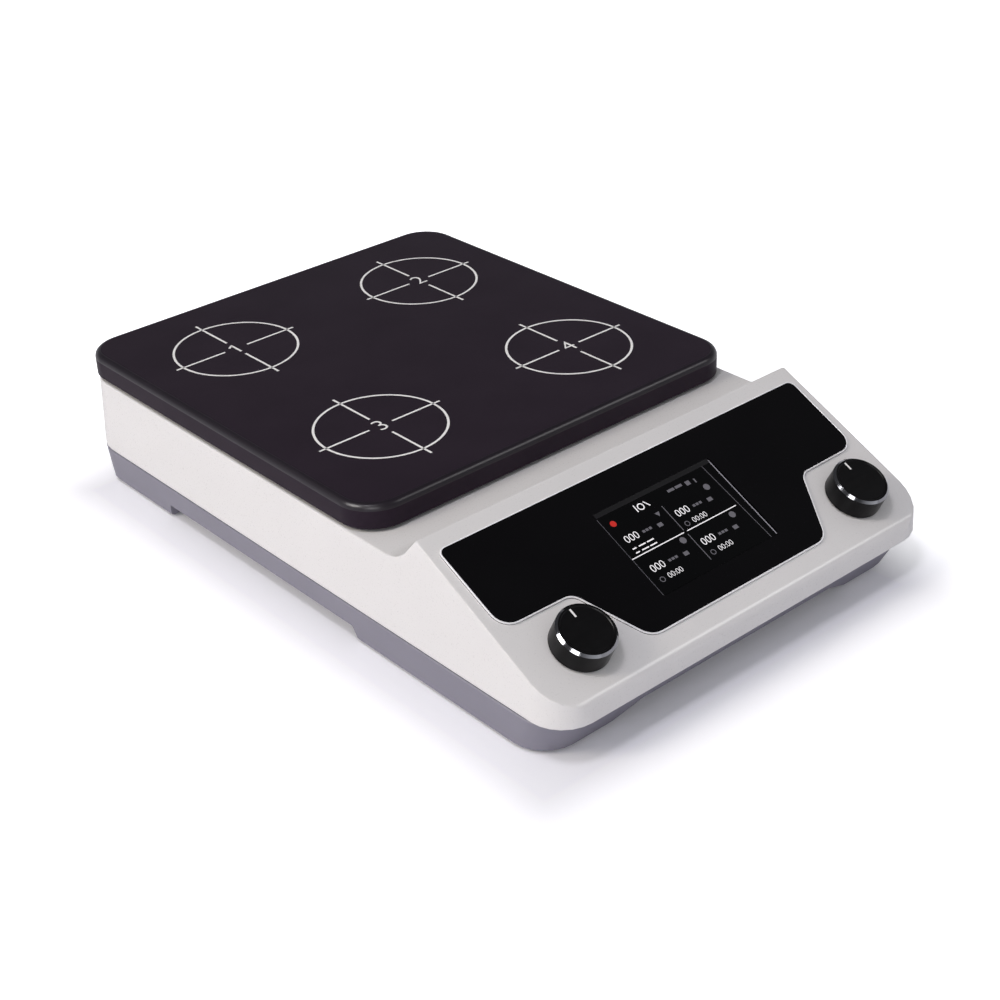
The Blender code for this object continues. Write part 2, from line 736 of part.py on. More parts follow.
def nose_rounding(cutters):
    """What comes off to round the edge between the panel and the front face."""
    slope = Vector((-math.cos(PANEL_SLOPE), -math.sin(PANEL_SLOPE)))
    corner = Vector((FRONT_Y, PANEL_FOOT_Z))
    turn = math.pi / 2 - PANEL_SLOPE
    reach = NOSE_RADIUS * math.tan(turn / 2)
    up_slope = corner - slope * reach
    centre = Vector((FRONT_Y + NOSE_RADIUS, PANEL_FOOT_Z - reach))
    arc = []
    for step in range(FINE_STEPS + 1):
        angle = math.pi - turn * step / FINE_STEPS
        arc.append(centre + Vector((math.cos(angle), math.sin(angle))) * NOSE_RADIUS)
    outside = [
        up_slope + Vector((-math.sin(PANEL_SLOPE), math.cos(PANEL_SLOPE))) * OVERRUN,
        corner + Vector((-OVERRUN, OVERRUN)),
        Vector((FRONT_Y - OVERRUN, arc[0].y)),
    ]
    return flat("nose_rounding", [arc + outside], -HOUSING_WIDTH, HOUSING_WIDTH, cutters, ALONG_X)


def housing_cavity(cutters):
    """The hollow of the housing, less the bosses, posts and thick rear wall left in it."""
    ledge_top = SEAM_Z + LEDGE_HEIGHT
    top = RIDGE_Z + OVERRUN
    cavity = loft(
        "housing_cavity",
        [(housing_plan(ledge_top, HOUSING_WALL), ledge_top), (housing_plan(top, HOUSING_WALL), top)],
        cutters,
    )
    profile = flat(
        "cavity_profile", [side_profile(HOUSING_WALL)], -HOUSING_WIDTH, HOUSING_WIDTH, cutters, ALONG_X
    )
    combine(cavity, profile, "INTERSECT")
    half = HOUSING_WIDTH / 2 - RIM_WALL
    corners = rectangle(-half, FRONT_Y + LEDGE_DEPTH, half, BACK_Y - RIM_WALL)
    outline = rounded(corners, HOUSING_REAR_CORNER - RIM_WALL)
    rim = flat("rim_opening", [outline], SEAM_Z - OVERRUN, ledge_top + FIT, cutters)
    combine(cavity, rim, "UNION")
    for side, where, x, y in base_screw_places():
        radius = SCREW_RADIUS + FIT + SCREW_BOSS_WALL
        boss = cylinder(f"boss_{where}_{side}", radius, TRAY_TOP, top + OVERRUN, cutters, (x, y))
        combine(cavity, boss)
    low = board_level() + FIT
    for index, place in enumerate(control_post_places()):
        post = cylinder(f"panel_post_{index}", BOARD_POST_RADIUS, low, OVERRUN, cutters, place, sides=12)
        combine(cavity, on_panel(post))
    left = INLET_X - INLET_FLANGE_WIDTH / 2 - REAR_FACE_MARGIN
    right = SWITCH_X + SWITCH_FRAME_WIDTH / 2 + REAR_FACE_MARGIN
    near = (left, REAR_FACE_Y - REAR_FACE_WALL, SEAM_Z + FIT)
    far = (right, BACK_Y + OVERRUN, top + OVERRUN)
    combine(cavity, box("rear_wall", near, far, cutters))
    return cavity


def upper_housing(parts, cutters, material):
    """White shell: deck, ramp, ridge, sloping panel and front face."""
    top = RIDGE_Z + OVERRUN
    bottom = SEAM_Z - OVERRUN
    housing = loft("upper_housing", [(housing_plan(bottom), bottom), (housing_plan(top), top)], parts)
    profile = flat("housing_profile", [side_profile()], -HOUSING_WIDTH, HOUSING_WIDTH, cutters, ALONG_X)
    combine(housing, profile, "INTERSECT")
    settle(housing)
    bevelled(housing, HOUSING_EDGE)
    combine(housing, nose_rounding(cutters))
    settle(housing)
    combine(housing, housing_cavity(cutters))
    settle(housing)
    hold_in(housing, PANEL)
    outline = rounded(window_corners(-WINDOW_LEDGE), WINDOW_RADIUS)
    window = flat("window_opening", [outline], -OVERRUN, OVERRUN, cutters, PANEL)
    combine(housing, window)
    recess = flat("overlay_recess", [overlay_outline(FIT)], -OVERLAY_RECESS, OVERRUN, cutters, PANEL)
    combine(housing, recess)
    for side, sign in SIDES:
        hole = cylinder(f"bushing_hole_{side}", BUSHING_RADIUS + FIT, -OVERRUN, OVERRUN, cutters)
        combine(housing, on_panel(hole, sign * KNOB_SPREAD / 2, KNOB_PLACE))
    settle(housing)
    hold_in(housing, Matrix())
    outline = rounded(centred(DECK_OPENING, DECK_OPENING, 0, PLATE_Y), DECK_OPENING_CORNER)
    low, high = DECK_Z - OVERRUN, DECK_Z + OVERRUN
    combine(housing, flat("deck_opening", [outline], low, high, cutters))
    for side, where, x, y in frame_screw_places():
        combine(housing, screw_hole(f"deck_hole_{where}_{side}", low, high, cutters, (x, y)))
    thread_end = base_screw_level() + BASE_SCREW_LENGTH + SCREW_END_GAP
    for side, where, x, y in base_screw_places():
        combine(housing, screw_hole(f"screw_hole_{where}_{side}", bottom, thread_end, cutters, (x, y)))
    for name, corners, through in rear_openings():
        outline = rounded(inset(corners, -FIT), FLANGE_CORNER, FINE_STEPS)
        pocket = flat(f"{name}_pocket", [outline], -BACK_Y - OVERRUN, -REAR_FACE_Y, cutters, ALONG_Y)
        combine(housing, pocket)
        outline, depth = inset(through, -FIT), -REAR_FACE_Y + OVERRUN
        combine(housing, flat(f"{name}_hole", [outline], -BACK_Y, depth, cutters, ALONG_Y))
    settle(housing, material)


def screw_hole(name, low, high, group, place):
    """What a cut takes away for the shank of a screw."""
    return cylinder(name, SCREW_RADIUS + FIT, low, high, group, place, sides=12)


def rear_openings():
    """Name, flange outline and body outline of what sits in the rear wall, as (x, z)."""
    return [
        ("inlet", inlet_flange(), inlet_body()),
        ("switch", switch_flange(), switch_body()),
    ]


def inlet_flange():
    low = INLET_BOTTOM
    half = INLET_FLANGE_WIDTH / 2
    return rectangle(INLET_X - half, low, INLET_X + half, low + INLET_FLANGE_HEIGHT)


def inlet_body():
    half = DRAWER_WIDTH / 2 + FIT + INLET_MARGIN
    low = INLET_BOTTOM + FLANGE_LIP
    high = INLET_BOTTOM + INLET_FLANGE_HEIGHT - FLANGE_LIP
    return rectangle(INLET_X - half, low, INLET_X + half, high)


def switch_flange():
    middle = INLET_BOTTOM + INLET_FLANGE_HEIGHT / 2
    return centred(SWITCH_FRAME_WIDTH, SWITCH_FRAME_HEIGHT, SWITCH_X, middle)


def switch_well():
    """The well that the rocker swings in, as (x, z)."""
    middle = INLET_BOTTOM + INLET_FLANGE_HEIGHT / 2
    return centred(ROCKER_WIDTH + 2 * FIT, ROCKER_LENGTH + 2 * SWITCH_WELL_MARGIN, SWITCH_X, middle)


def switch_body():
    return inset(switch_well(), -SWITCH_WALL)


# Base tray and what fastens it


def underside(cutters):
    """The hollow between the leg skirts, less the bosses of the feet."""
    low, high = LEG_CLEARANCE - OVERRUN, FLOOR_BOTTOM
    outlines = [tray_plan(TRAY_TOP - level, LEG_SKIRT) for level in (low, high)]
    hollow = loft("underside", [(outlines[0], low), (outlines[1], high)], cutters)
    radius = FOOT_RADIUS + FIT + FOOT_BOSS_WALL
    low, high = low - OVERRUN, high + OVERRUN
    for side, where, x, y in foot_places():
        boss = cylinder(f"foot_boss_{where}_{side}", radius, low, high, cutters, (x, y), sides=20)
        combine(hollow, boss)
    return hollow


def tray_hollow(cutters):
    """The inside of the tray, less its screw bosses and the posts of the main board."""
    high = TRAY_TOP + OVERRUN
    sections = [(tray_plan(TRAY_TOP - level, TRAY_WALL), level) for level in (FLOOR_TOP, high)]
    hollow = loft("tray_hollow", sections, cutters)
    radius, top = SCREW_HEAD_RADIUS + FIT + SCREW_BOSS_WALL, TRAY_TOP - FIT
    for side, where, x, y in base_screw_places():
        combine(hollow, cylinder(f"tray_boss_{where}_{side}", radius, FLOOR_BOTTOM, top, cutters, (x, y)))
    radius, top = BOARD_POST_RADIUS, FLOOR_TOP + MAIN_BOARD_LIFT
    for index, place in enumerate(inset(main_board_corners(), MAIN_POST_INSET)):
        post = cylinder(f"board_post_{index}", radius, FLOOR_BOTTOM, top, cutters, place, sides=12)
        combine(hollow, post)
    return hollow


def arches(cutters):
    """The openings between the legs, on the sides and at both ends."""
    low, high = LEG_CLEARANCE - OVERRUN, FLOOR_BOTTOM
    rise = (high - low) / TRAY_FLOOR_RISE
    lean = SIDE_ARCH_LEAN * rise
    front = FRONT_Y + FRONT_LEG_LENGTH
    back = BACK_Y - REAR_LEG_LENGTH
    side = [(front - lean, low), (back + lean, low), (back, high), (front, high)]
    half = HOUSING_WIDTH / 2 - LEG_WIDTH - END_ARCH_LEAN
    lean = END_ARCH_LEAN * rise
    end = [(-half - lean, low), (half + lean, low), (half, high), (-half, high)]
    return [
        flat("side_arch", [side], -HOUSING_WIDTH, HOUSING_WIDTH, cutters, ALONG_X),
        flat("end_arch", [end], -OVERALL_DEPTH, OVERALL_DEPTH, cutters, ALONG_Y),
    ]


def base_screw_level():
    """The top of a base screw's head."""
    return FLOOR_BOTTOM + BASE_SCREW_SEAT


def base_tray(parts, cutters, material):
    """Grey tray with four legs, its front set back under the housing's lip."""
    sections = [
        (tray_plan(TRAY_HEIGHT - up, sunk), LEG_CLEARANCE + up) for sunk, up in rounding(TRAY_EDGE, 2)[::-1]
    ]
    sections.append((tray_plan(TRAY_RIM_CHAMFER), TRAY_TOP - TRAY_RIM_CHAMFER))
    sections.append((tray_plan(0, TRAY_RIM_CHAMFER), TRAY_TOP))
    tray = loft("base_tray", sections, parts)
    combine(tray, tray_hollow(cutters))
    combine(tray, underside(cutters))
    for arch in arches(cutters):
        combine(tray, arch)
    for index, place in enumerate(drive_post_places()):
        low, high = FLOOR_TOP - TRAY_FLOOR / 2, DRIVE_PLATE_BOTTOM - FIT
        post = cylinder(f"drive_post_{index}", DRIVE_POST_RADIUS, low, high, cutters, place, sides=12)
        combine(tray, post, "UNION")
    low = LEG_CLEARANCE - OVERRUN
    radius, seat = FOOT_RADIUS + FIT, LEG_CLEARANCE + FOOT_SEAT_DEPTH
    for side, where, x, y in foot_places():
        combine(tray, cylinder(f"foot_seat_{where}_{side}", radius, low, seat, cutters, (x, y), sides=20))
    radius, seat = SCREW_HEAD_RADIUS + FIT, base_screw_level() + FIT
    for side, where, x, y in base_screw_places():
        combine(tray, cylinder(f"head_seat_{where}_{side}", radius, low, seat, cutters, (x, y)))
        combine(tray, screw_hole(f"tray_hole_{where}_{side}", low, DECK_Z, cutters, (x, y)))
    settle(tray, material)


def feet(parts, material):
    """Rubber discs in their seats under the legs."""
    top = LEG_CLEARANCE + FOOT_SEAT_DEPTH - FIT
    profile = [
        (0, top),
        (FOOT_RADIUS, top),
        (FOOT_RADIUS, FOOT_CHAMFER),
        (FOOT_RADIUS - FOOT_CHAMFER, 0),
        (0, 0),
    ]
    for side, where, x, y in foot_places():
        foot = settle(turned(f"foot_{where}_{side}", profile, parts, 20), material)
        foot.location = (x, y, 0)


def screw(name, length, parts, material):
    """A screw with its head below z = 0 and its shank above."""
    profile = [
        (0, length),
        (SCREW_RADIUS, length),
        (SCREW_RADIUS, 0),
        (SCREW_HEAD_RADIUS, 0),
        (SCREW_HEAD_RADIUS, -SCREW_HEAD_HEIGHT + SCREW_HEAD_CHAMFER),
        (SCREW_HEAD_RADIUS - SCREW_HEAD_CHAMFER, -SCREW_HEAD_HEIGHT),
        (0, -SCREW_HEAD_HEIGHT),
    ]
    return settle(turned(name, profile, parts, 12), material)


def screws(parts, material):
    """Four screws join tray and housing, and four hold the plate's frame to the deck."""
    for side, where, x, y in base_screw_places():
        fastener = screw(f"base_screw_{where}_{side}", BASE_SCREW_LENGTH, parts, material)
        fastener.location = (x, y, base_screw_level())
    for side, where, x, y in frame_screw_places():
        fastener = screw(f"frame_screw_{where}_{side}", FRAME_SCREW_LENGTH, parts, material)
        fastener.location = (x, y, DECK_Z - HOUSING_WALL - FIT)


# Work plate


def top_plate(parts, cutters, material):
    """Black work plate with a rounded upper edge and a skirt that hides its frame."""
    corners = centred(PLATE_WIDTH, PLATE_DEPTH, 0, PLATE_Y)
    low = PLATE_BOTTOM - PLATE_SKIRT
    sections = [
        (rounded(inset(corners, PLATE_CHAMFER), PLATE_CORNER - PLATE_CHAMFER), low),
        (rounded(corners, PLATE_CORNER), low + PLATE_CHAMFER),
    ]
    for sunk, down in rounding(PLATE_EDGE, FINE_STEPS):
        sections.append((rounded(inset(corners, sunk), PLATE_CORNER - sunk), PLATE_TOP - down))
    plate = loft("top_plate", sections, parts)
    outline = rounded(inset(corners, PLATE_SKIRT_WALL), PLATE_CORNER - PLATE_SKIRT_WALL)
    combine(plate, flat("plate_hollow", [outline], low - OVERRUN, PLATE_BOTTOM, cutters))
    settle(plate, material)


def plate_frame(parts, cutters, material):
    """Square frame on the deck that carries the work plate."""
    corners = centred(FRAME_SIZE, FRAME_SIZE, 0, PLATE_Y)
    inner = rounded(inset(corners, FRAME_BAND), FRAME_CORNER - FRAME_BAND)
    outlines = [rounded(corners, FRAME_CORNER), inner]
    frame = flat("plate_frame", outlines, FRAME_BOTTOM, FRAME_BOTTOM + FRAME_HEIGHT, parts)
    low, high = FRAME_BOTTOM - OVERRUN, DECK_Z - HOUSING_WALL + FRAME_SCREW_LENGTH
    for side, where, x, y in frame_screw_places():
        combine(frame, screw_hole(f"frame_hole_{where}_{side}", low, high, cutters, (x, y)))
    settle(frame, material)


# Control panel


def control_overlay(parts, material):
    """Glossy black overlay with two shoulders and a lobe between the knobs."""
    outlines = [overlay_outline(), rounded(window_corners(), WINDOW_RADIUS)]
    low, high = -OVERLAY_RECESS + FIT, OVERLAY_RAISE
    settle(flat("control_overlay", outlines, low, high, parts, PANEL), material)


def display_lens(parts, material):
    outline = rounded(window_corners(-FIT), WINDOW_RADIUS - FIT)
    low, high = -OVERLAY_RECESS + FIT, OVERLAY_RAISE - LENS_DEPTH
    settle(flat("display_lens", [outline], low, high, parts, PANEL), material)


def display_module(parts, cutters, material):
    """Display with its glass raised into the window opening of the housing."""
    low, high = board_level() + FIT, -HOUSING_WALL - FIT
    sill = WINDOW_TOP - MODULE_MARGIN
    foot = WINDOW_BOTTOM + MODULE_MARGIN
    corners = rectangle(-MODULE_WIDTH / 2, -foot, MODULE_WIDTH / 2, -sill)
    module = flat("display_module", [corners], low, high, parts, PANEL)
    glass = rounded(window_corners(-WINDOW_LEDGE - FIT), WINDOW_RADIUS - FIT)
    raised = flat("display_glass", [glass], low + FIT, -OVERLAY_RECESS, cutters, PANEL)
    combine(module, raised, "UNION")
    settle(module, material)


def control_board(parts, material):
    half = CONTROL_BOARD_WIDTH / 2
    corners = rectangle(-half, -CONTROL_BOARD_BOTTOM, half, -CONTROL_BOARD_TOP)
    level = board_level()
    settle(flat("control_board", [corners], level - BOARD_THICKNESS, level, parts, PANEL), material)


def encoder(side, sign, parts, cutters, materials):
    """Push encoder: body with its bushing, nut, plunger and shaft."""
    high = -HOUSING_WALL - FIT
    low = high - ENCODER_BODY_HEIGHT
    half_width, half_length = ENCODER_WIDTH / 2, ENCODER_LENGTH / 2
    near, far = (-half_width, -half_length, low), (half_width, half_length, high)
    body = box(f"encoder_body_{side}", near, far, parts)
    bushing = cylinder(f"bushing_{side}", BUSHING_RADIUS, low + FIT, BUSHING_RISE, cutters)
    combine(body, bushing, "UNION")
    floor = low + ENCODER_FLOOR
    bore = cylinder(f"bushing_bore_{side}", SHAFT_RADIUS + FIT, floor, OVERRUN, cutters)
    combine(body, bore)
    nut = cylinder(f"encoder_nut_{side}", NUT_RADIUS, FIT, FIT + NUT_HEIGHT, parts, sides=6)
    nut_bore = cylinder(f"nut_bore_{side}", BUSHING_RADIUS + FIT, -OVERRUN, OVERRUN, cutters)
    combine(nut, nut_bore)
    plunger_low = floor + FIT + PUSH_TRAVEL
    plunger_high = plunger_low + PLUNGER_HEIGHT
    plunger = cylinder(f"encoder_plunger_{side}", SHAFT_RADIUS, plunger_low, plunger_high, parts)
    top = KNOB_HEIGHT - KNOB_ROOF - FIT
    shaft = cylinder(f"encoder_shaft_{side}", SHAFT_RADIUS, plunger_high + FIT, top, parts)
    finishes = {body: "plastic", nut: "plated", plunger: "plastic", shaft: "steel"}
    for piece, material in finishes.items():
        settle(piece, materials[material])
    for piece in (*finishes, bushing, bore, nut_bore):
        on_panel(piece, sign * KNOB_SPREAD / 2, KNOB_PLACE)


def knob(side, sign, parts, material):
    """Turned knob with a flat bright rim, a shallow dish and a bore for the shaft."""
    bore = SHAFT_RADIUS + FIT
    recess_top = KNOB_LIFT + KNOB_RECESS_DEPTH
    profile = [
        (0, KNOB_HEIGHT - KNOB_DISH),
        (KNOB_TOP_RADIUS - 2 * KNOB_RIM, KNOB_HEIGHT - KNOB_DISH),
        (KNOB_TOP_RADIUS - 2 * KNOB_RIM + KNOB_DISH, KNOB_HEIGHT),
        (KNOB_TOP_RADIUS - KNOB_RIM, KNOB_HEIGHT),
        (KNOB_TOP_RADIUS, KNOB_HEIGHT - KNOB_RIM),
        (KNOB_RADIUS, KNOB_LIFT + KNOB_DISH),
        (KNOB_RADIUS - KNOB_DISH, KNOB_LIFT),
        (KNOB_RECESS_RADIUS, KNOB_LIFT),
        (KNOB_RECESS_RADIUS, recess_top),
        (bore, recess_top),
        (bore, KNOB_HEIGHT - KNOB_ROOF),
        (0, KNOB_HEIGHT - KNOB_ROOF),
    ]
    piece = settle(turned(f"knob_{side}", profile, parts, 32), material)
    on_panel(piece, sign * KNOB_SPREAD / 2, KNOB_PLACE)


# Stirring drives


def stir_motor(number, place, parts, material):
    """Motor under the drive plate, with a collar round the bore for the spindle."""
    bore = SPINDLE_RADIUS + FIT
    profile = [
        (0, MOTOR_BOTTOM + MOTOR_FLOOR),
        (bore, MOTOR_BOTTOM + MOTOR_FLOOR),
        (bore, MOTOR_TOP + MOTOR_COLLAR_HEIGHT),
        (MOTOR_COLLAR_RADIUS, MOTOR_TOP + MOTOR_COLLAR_HEIGHT),
        (MOTOR_COLLAR_RADIUS, MOTOR_TOP),
        (MOTOR_RADIUS, MOTOR_TOP),
        (MOTOR_RADIUS, MOTOR_BOTTOM),
        (0, MOTOR_BOTTOM),
    ]
    motor = settle(turned(f"stir_motor_{number}", profile, parts), material)
    motor.location = (*place, 0)


def magnet_holder(number, place, parts, cutters, material):
    """Disc with two pockets for the magnets and a spindle that runs in the motor."""
    disc_bottom = HOLDER_TOP - HOLDER_THICKNESS
    spindle_bottom = MOTOR_BOTTOM + MOTOR_FLOOR + FIT
    profile = [
        (0, HOLDER_TOP),
        (HOLDER_RADIUS, HOLDER_TOP),
        (HOLDER_RADIUS, disc_bottom),
        (HUB_RADIUS, disc_bottom),
        (HUB_RADIUS, HUB_BOTTOM),
        (SPINDLE_RADIUS, HUB_BOTTOM),
        (SPINDLE_RADIUS, spindle_bottom),
        (0, spindle_bottom),
    ]
    holder = turned(f"magnet_holder_{number}", profile, parts, 28)
    radius, low, high = MAGNET_RADIUS + FIT, MAGNET_BOTTOM - FIT, HOLDER_TOP + OVERRUN
    for side, sign in SIDES:
        x = sign * MAGNET_SPREAD / 2
        pocket = cylinder(f"magnet_pocket_{number}_{side}", radius, low, high, cutters, (x, 0))
        pocket.location = (*place, 0)
        combine(holder, pocket)
    holder.location = (*place, 0)
    settle(holder, material)


def magnets(number, place, parts, material):
    top = MAGNET_BOTTOM + MAGNET_HEIGHT
    for side, sign in SIDES:
        x = sign * MAGNET_SPREAD / 2
        magnet = cylinder(f"magnet_{number}_{side}", MAGNET_RADIUS, MAGNET_BOTTOM, top, parts, (x, 0))
        settle(magnet, material)
        magnet.location = (*place, 0)


def drive_plate(parts, cutters, material):
    """Steel sheet on the tray's posts that carries the four motors, notched for the leads."""
    front, back = drive_plate_lines()
    half = DRIVE_PLATE_WIDTH / 2
    notch, notch_front = LEAD_NOTCH_WIDTH / 2, back - LEAD_NOTCH_DEPTH
    corners = [
        (-half, front),
        (half, front),
        (half, back),
        (notch, back),
        (notch, notch_front),
        (-notch, notch_front),
        (-notch, back),
        (-half, back),
    ]
    low, high = DRIVE_PLATE_BOTTOM, DRIVE_PLATE_BOTTOM + DRIVE_PLATE_THICKNESS
    sheet = flat("drive_plate", [rounded(corners, DRIVE_PLATE_CORNER, FINE_STEPS)], low, high, parts)
    radius, low, high = MOTOR_COLLAR_RADIUS + FIT, low - OVERRUN, high + OVERRUN
    for number, place in enumerate(STATIONS, 1):
        combine(sheet, cylinder(f"collar_hole_{number}", radius, low, high, cutters, place))
    settle(sheet, material)


# Electronics and cables


def main_board(parts, cutters, material):
    """Board on the tray's posts, with its connector, capacitors and heat sink."""
    low = FLOOR_TOP + MAIN_BOARD_LIFT + FIT
    high = low + BOARD_THICKNESS
    corners = main_board_corners()
    (left, front), (right, back) = corners[0], corners[2]
    board = box("main_board", (left, front, low), (right, back, high), parts)
    half, y = CONNECTOR_WIDTH / 2, ribbon_start()
    connector = box(
        "board_connector",
        (-half, y - CONNECTOR_DEPTH / 2, low + BOARD_THICKNESS / 2),
        (half, y + CONNECTOR_DEPTH / 2, high + CONNECTOR_HEIGHT),
        cutters,
    )
    combine(board, connector, "UNION")
    middle, top = (low + high) / 2, high + CAPACITOR_HEIGHT
    for index in range(3):
        place = (left + CAPACITOR_INSET + index * CAPACITOR_PITCH, back - CAPACITOR_PITCH)
        can = cylinder(f"capacitor_{index}", CAPACITOR_RADIUS, middle, top, cutters, place, sides=12)
        combine(board, can, "UNION")
    width, depth, height = HEAT_SINK_SIZE
    sink = box(
        "heat_sink",
        (right / 2 - width / 2, back - CAPACITOR_PITCH - depth / 2, middle),
        (right / 2 + width / 2, back - CAPACITOR_PITCH + depth / 2, high + height),
        cutters,
    )
    combine(board, sink, "UNION")
    settle(board, material)


def power_supply(parts, material):
    """Enclosed supply between the two rows of motors."""
    near = (-SUPPLY_WIDTH / 2, SUPPLY_BACK_Y - SUPPLY_LENGTH, SUPPLY_BOTTOM)
    far = (SUPPLY_WIDTH / 2, SUPPLY_BACK_Y, SUPPLY_TOP)
    case = box("power_supply", near, far, parts)
    settle(bevelled(case, SUPPLY_EDGE, 1), material)


def ribbon_start():
    """Where along the depth the ribbon leaves the main board's connector."""
    return FRONT_Y + MAIN_BOARD_FRONT_INSET + CONNECTOR_INSET


def panel_cable(parts, material):
    """Ribbon from the main board up to the control board, on an S-shaped route."""
    low = FLOOR_TOP + MAIN_BOARD_LIFT + FIT + BOARD_THICKNESS + CONNECTOR_HEIGHT + FIT
    start = Vector((ribbon_start(), low))
    under = PANEL @ Vector((0, -RIBBON_PLACE, board_level() - BOARD_THICKNESS - FIT))
    end = Vector((under.y, under.z))
    away = Vector((math.sin(PANEL_SLOPE), -math.cos(PANEL_SLOPE)))
    reach = (end - start).length / 2
    upward = start + Vector((0, reach))
    route = interpolate_bezier(start, upward, end + away * reach, end, 2 * CORNER_STEPS)
    left, right = [], []
    for index, point in enumerate(route):
        ahead = route[min(index + 1, len(route) - 1)] - route[max(index - 1, 0)]
        if index == 0:
            ahead = Vector((0, 1))
        if index == len(route) - 1:
            ahead = -away
        across = Vector((-ahead.y, ahead.x)).normalized() * RIBBON_THICKNESS / 2
        left.append(point + across)
        right.append(point - across)
    outline = right + left[::-1]
    settle(flat("panel_cable", [outline], -RIBBON_WIDTH / 2, RIBBON_WIDTH / 2, parts, ALONG_X), material)


def lead(name, start, end, parts, material):
    """Round lead that leaves a rear fitting forwards and enters the supply from behind."""
    reach = Vector((0, (start.y - end.y) / 2, 0))
    route = interpolate_bezier(start, start - reach, end + reach, end, 2 * CORNER_STEPS)
    settle(tube(name, route, LEAD_RADIUS, parts), material)


def leads(parts, material):
    back, level = SUPPLY_BACK_Y + FIT, (SUPPLY_BOTTOM + SUPPLY_TOP) / 2
    aside = SUPPLY_LEAD_SHARE * SUPPLY_WIDTH
    terminals = FLANGE_FACE_Y - BLADE_SETBACK - BLADE_LENGTH - FIT
    inlet_end = Vector((INLET_X, terminals, SOCKET_CENTRE - BLADE_OFFSET))
    lead("mains_lead", inlet_end, Vector((-aside, back, level)), parts, material)
    middle = INLET_BOTTOM + INLET_FLANGE_HEIGHT / 2
    switch_end = Vector((SWITCH_X, REAR_FACE_Y - SWITCH_DEPTH - FIT, middle))
    lead("switch_lead", switch_end, Vector((aside, back, level)), parts, material)


# Mains inlet, fuse and power switch


def socket_outline():
    """Mouth of the inlet, with its two upper corners cut off, as (x, z)."""
    half, cut = SOCKET_WIDTH / 2, SOCKET_CHAMFER
    low, high = SOCKET_BOTTOM, SOCKET_BOTTOM + SOCKET_HEIGHT
    return [
        (INLET_X - half, low),
        (INLET_X + half, low),
        (INLET_X + half, high - cut),
        (INLET_X + half - cut, high),
        (INLET_X - half + cut, high),
        (INLET_X - half, high - cut),
    ]


def blade_places():
    return [
        ("live", INLET_X + BLADE_SPREAD / 2, SOCKET_CENTRE - BLADE_OFFSET),
        ("neutral", INLET_X - BLADE_SPREAD / 2, SOCKET_CENTRE - BLADE_OFFSET),
        ("earth", INLET_X, SOCKET_CENTRE + BLADE_OFFSET),
    ]


def drawer_slot():
    return rectangle(
        INLET_X - DRAWER_WIDTH / 2 - FIT,
        DRAWER_BOTTOM - FIT,
        INLET_X + DRAWER_WIDTH / 2 + FIT,
        DRAWER_BOTTOM + DRAWER_HEIGHT + FIT,
    )


def mains_inlet(parts, cutters, material):
    """Inlet with a flange, its socket, the slots of the blades and the drawer's slot."""
    face = FLANGE_FACE_Y
    flange_back = REAR_FACE_Y + FIT
    outline = rounded(inlet_flange(), FLANGE_CORNER, FINE_STEPS)
    inlet = flat("mains_inlet", [outline], -face, -flange_back, parts, ALONG_Y)
    body = flat("inlet_body", [inlet_body()], -flange_back - FIT, -INLET_BACK_Y, cutters, ALONG_Y)
    combine(inlet, body, "UNION")
    mouth, depth = -face - OVERRUN, -face + SOCKET_DEPTH
    combine(inlet, flat("inlet_socket", [socket_outline()], mouth, depth, cutters, ALONG_Y))
    for name, x, z in blade_places():
        slot = centred(BLADE_THICKNESS + 2 * FIT, BLADE_WIDTH + 2 * FIT, x, z)
        through = flat(f"blade_slot_{name}", [slot], -face, -INLET_BACK_Y + OVERRUN, cutters, ALONG_Y)
        combine(inlet, through)
    depth = -face + DRAWER_LENGTH + FIT + DRAWER_SLOT_END
    combine(inlet, flat("drawer_slot", [drawer_slot()], mouth, depth, cutters, ALONG_Y))
    settle(inlet, material)


def inlet_blades(parts, material):
    """Flat contact blades, from the terminals behind the inlet to inside its mouth."""
    tip = FLANGE_FACE_Y - BLADE_SETBACK
    half_x, half_z = BLADE_THICKNESS / 2, BLADE_WIDTH / 2
    for name, x, z in blade_places():
        near, far = (x - half_x, tip - BLADE_LENGTH, z - half_z), (x + half_x, tip, z + half_z)
        blade = box(f"inlet_blade_{name}", near, far, parts)
        settle(bevelled(blade, BLADE_EDGE, 1), material)


def fuse_y():
    return FLANGE_FACE_Y - FUSE_INSET


def fuse_drawer(parts, cutters, material):
    """Drawer that carries the fuse across it, with a notch for a fingernail."""
    low, high = DRAWER_BOTTOM, DRAWER_BOTTOM + DRAWER_HEIGHT
    half = DRAWER_WIDTH / 2
    back = FLANGE_FACE_Y - DRAWER_LENGTH
    drawer = box("fuse_drawer", (INLET_X - half, back, low), (INLET_X + half, FLANGE_FACE_Y, high), parts)
    reach = FUSE_CAP_RADIUS + FIT
    bed_half = FUSE_LENGTH / 2 + FIT
    bed = box(
        "fuse_bed",
        (INLET_X - bed_half, fuse_y() - reach, low + DRAWER_FLOOR),
        (INLET_X + bed_half, fuse_y() + reach, high + OVERRUN),
        cutters,
    )
    combine(drawer, bed)
    reach = FINGER_NOTCH_WIDTH / 2
    notch = cylinder("finger_notch", FINGER_NOTCH_RADIUS, -reach, reach, cutters, sides=8)
    notch.matrix_world = Matrix.Translation((INLET_X, FLANGE_FACE_Y, low)) @ LYING
    combine(drawer, notch)
    settle(drawer, material)


